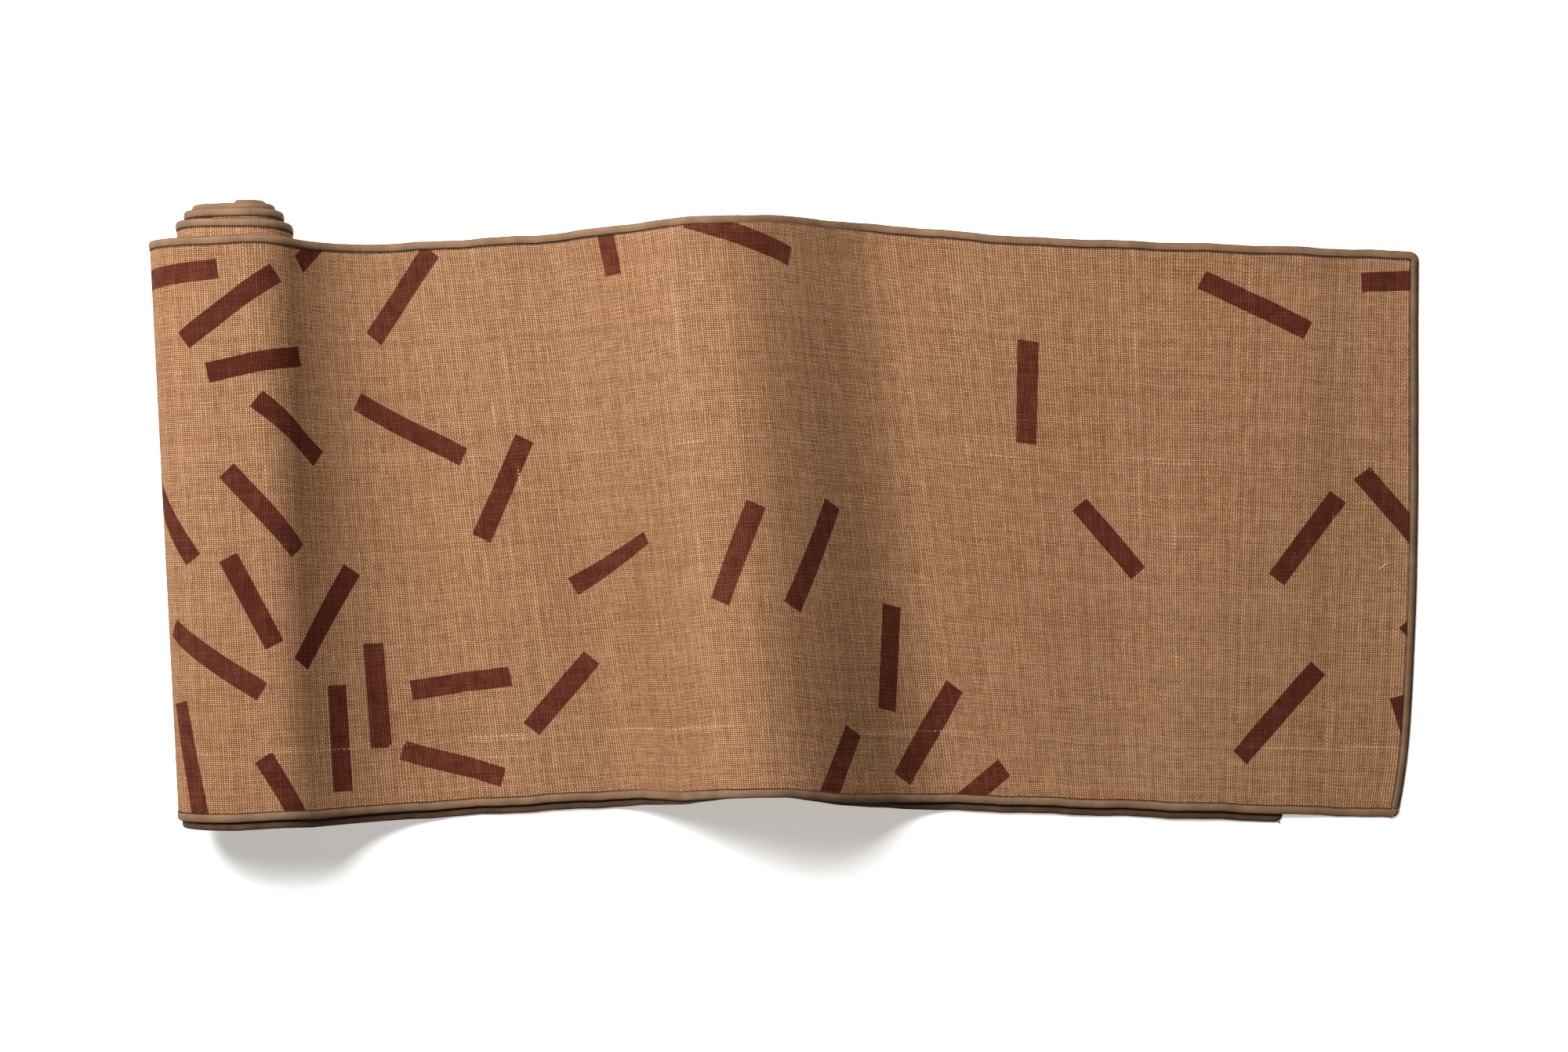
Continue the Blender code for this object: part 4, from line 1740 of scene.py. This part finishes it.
@dataclass
class Runner:
    """The whole runner: cloth, seams, tails and stray fibres."""

    strip: Strip = field(default_factory=Strip)
    pieces: list[bpy.types.Object] = field(default_factory=list)

    def stand_in_frame(self) -> Vector:
        """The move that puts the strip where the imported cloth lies.

        Returns:
            The move from the roll's middle to the row frame.
        """
        low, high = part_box("cloth_panel")
        ends = [vector for row in self.strip.rows for vector in (row.far, row.near)]
        own_high = max(point.x for point in ends)
        own_middle = (max(point.y for point in ends) + min(point.y for point in ends)) / 2
        return Vector((high.x - own_high, (low.y + high.y) / 2 - own_middle, 0.0))

    def side_path(self, side: str, shift: Vector) -> EdgePath:
        """The frames along one long edge.

        Args:
            side: The side's name.
            shift: The move to the row frame.

        Returns:
            The path, from the top end to the bottom end.
        """
        share = 0.0 if side == "far" else 1.0
        inner = 0.02 if side == "far" else 0.98
        rows = self.strip.rows
        points = [self.strip.point(row, share) + shift for row in rows]
        inside = [self.strip.point(row, inner) + shift for row in rows]
        ups = [row.far_up if side == "far" else row.near_up for row in rows]
        return edge_path(points, ups, inside)

    def end_path(self, end: str, shift: Vector) -> EdgePath:
        """The frames along one cut end, between the two side seams.

        Args:
            end: The end's name.
            shift: The move to the row frame.

        Returns:
            The path, from far to near.
        """
        rows = self.strip.rows
        row, inner = (rows[0], rows[6]) if end == "top" else (rows[-1], rows[-7])
        clear = 0.0002 / (2 * self.strip.half_width)
        shares = [*steps(clear, 1 - clear, 60), 1 - clear]
        points = [self.strip.point(row, share) + shift for share in shares]
        inside = [self.strip.point(inner, share) + shift for share in shares]
        ups = [row.far_up.lerp(row.near_up, share) for share in shares]
        return edge_path(points, ups, inside)

    def tails(self, side: str, path: EdgePath) -> list[bpy.types.Object]:
        """The two thread tails of one side seam.

        Args:
            side: The side's name.
            path: The side's frames.

        Returns:
            The tail laid back over the top end's corner and the one that leaves the bottom end's corner.
        """
        point, up = Vector(path.origins[0]), Vector(path.ups[0])
        ahead = (Vector(path.origins[8]) - Vector(path.origins[14])).normalized()
        over = (Vector(path.outs[8]) * 0.8 - ahead * 0.6).normalized()
        corner, out, corner_up = (Vector(values[-5]) for values in (path.origins, path.outs, path.ups))
        made = [
            CornerTail(f"top_{side}_corner_tail", point + up * 0.0013, over, up, 0.0070, 0.0014),
            CornerTail(f"bottom_{side}_corner_tail", corner, out, corner_up, 0.0026, 0.0),
        ]
        log.info("%s tails made", side)
        return [tail.build() for tail in made]

    def build(self) -> None:
        shift = self.stand_in_frame()
        bars = BarPrint(self.strip)
        cloth = ClothPanel(self.strip, shift).build(bars)
        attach(cloth, "root")
        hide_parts("cloth_panel")
        log.info("cloth: %d rows, %.2f half turns in the roll", len(self.strip.rows), self.strip.half_turns)
        for side in ("far", "near"):
            path = self.side_path(side, shift)
            self.pieces += Overlock(f"{side}_side", path, self.strip.thickness).build()
            log.info("%s side overlocked over %.3f m", side, path.length)
            self.pieces += self.tails(side, path)
        for end in ("top", "bottom"):
            path = self.end_path(end, shift)
            self.pieces += Overlock(f"{end}_end", path, self.strip.thickness, END_LOOPER).build()
            log.info("%s end overlocked over %.3f m", end, path.length)
        self.pieces.append(LooseFibres(self.strip, shift).build())


@dataclass
class Studio:
    """A pale floor, a large soft key from the far left, an overhead fill and the camera."""

    floor_size: float = 12.0
    floor_colour: tuple[float, ...] = (0.86, 0.86, 0.86, 1.0)
    floor_glow: float = 0.50
    warm: tuple[float, ...] = (0.87, 0.85, 0.81, 1.0)  # of the floor's glow, the fill and the sky
    key_power: float = 116.0
    key_size: float = 1.1
    key_distance: float = 2.2
    key_azimuth: float = math.radians(40)
    key_elevation: float = math.radians(46)
    fill_power: float = 3.0
    fill_size: float = 2.4
    fill_place: tuple[float, float, float] = (0.2, -0.3, 2.8)
    sky: float = 0.05
    backdrop: float = 0.80
    target: tuple[float, float, float] = (-0.0065, -0.0067, 0.0)
    camera_back: float = 0.0586
    camera_height: float = 1.62
    field_width: float = 0.9848  # of the floor, at the target

    def floor(self) -> None:
        """Lays the floor."""
        half = self.floor_size / 2
        points = np.array([(-half, -half, 0), (half, -half, 0), (half, half, 0), (-half, half, 0)], float)
        material, wire, shader = new_material("pale_floor")
        place = wire.node("TexCoord").outputs["Object"]
        grain = wire.noise(place, 3.0, 4.0)
        shade = wire.ramp(grain, 0.2, 0.8, 0.97, 1.0)
        tint = wire.node("CombineColor", {0: shade, 1: shade, 2: shade}).outputs[0]
        wire.feed(shader.inputs["Base Color"], wire.mix(1.0, self.floor_colour, tint, "MULTIPLY"))
        shader.inputs["Roughness"].default_value = 0.9
        shader.inputs["Specular IOR Level"].default_value = 0.1
        shader.inputs["Emission Color"].default_value = self.warm
        shader.inputs["Emission Strength"].default_value = self.floor_glow
        floor = new_piece("studio_floor", points, [(0, 1, 2, 3)], material)

    def lamp(self, name: str, power: float, size: float, place: Vector, colour: tuple[float, ...]) -> None:
        """Hangs a soft square lamp that faces the runner.

        Args:
            name: The lamp's name.
            power: Its power in watts.
            size: Its side.
            place: Where it hangs.
            colour: The light's colour.
        """
        data = bpy.data.lights.new(name, "AREA")
        data.shape, data.size, data.energy, data.color = "SQUARE", size, power, colour[:3]
        made = bpy.data.objects.new(name, data)
        bpy.context.scene.collection.objects.link(made)
        made.location = place
        made.rotation_euler = (-place).to_track_quat("-Z", "Y").to_euler()

    def lights(self) -> None:
        """Hangs the key and the fill, and lights the sky."""
        flat = math.cos(self.key_elevation)
        left, back = math.sin(self.key_azimuth) * flat, math.cos(self.key_azimuth) * flat
        way = Vector((-left, back, math.sin(self.key_elevation)))
        self.lamp("key_lamp", self.key_power, self.key_size, way * self.key_distance, (1.0, 1.0, 1.0))
        self.lamp("fill_lamp", self.fill_power, self.fill_size, Vector(self.fill_place), self.warm)
        world = bpy.data.worlds.new("studio_sky")
        world.use_nodes = True
        wire, shader = Wiring(world.node_tree), world.node_tree.nodes["Background"]
        seen = wire.node("LightPath").outputs["Is Camera Ray"]
        wire.feed(shader.inputs["Color"], wire.mix(seen, self.warm, (1.0, 1.0, 1.0, 1.0)))
        wire.feed(shader.inputs["Strength"], wire.choose(seen, self.sky, self.backdrop))
        bpy.context.scene.world = world
        bpy.context.scene.view_settings.view_transform = "Standard"

    def camera(self) -> None:
        """Sets the camera almost straight above."""
        target = Vector(self.target)
        offset = Vector((0.0, -self.camera_back, self.camera_height))
        data = bpy.data.cameras.new("camera")
        data.sensor_fit = "HORIZONTAL"
        data.sensor_width = 36.0
        data.lens = data.sensor_width * offset.length / self.field_width
        made = bpy.data.objects.new("camera", data)
        bpy.context.scene.collection.objects.link(made)
        made.location = target + offset
        made.rotation_euler = (-offset).to_track_quat("-Z", "Y").to_euler()
        bpy.context.scene.camera = made

    def build(self) -> None:
        """Sets up the floor, the lights and the camera."""
        self.floor()
        self.lights()
        self.camera()
        log.info("studio ready")


def main() -> None:
    """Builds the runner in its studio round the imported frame."""
    logging.basicConfig(level=logging.INFO, format="%(message)s")
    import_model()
    studio = Studio()
    studio.build()
    Runner().build()
    bpy.context.view_layer.update()


if __name__ == "__main__":
    main()
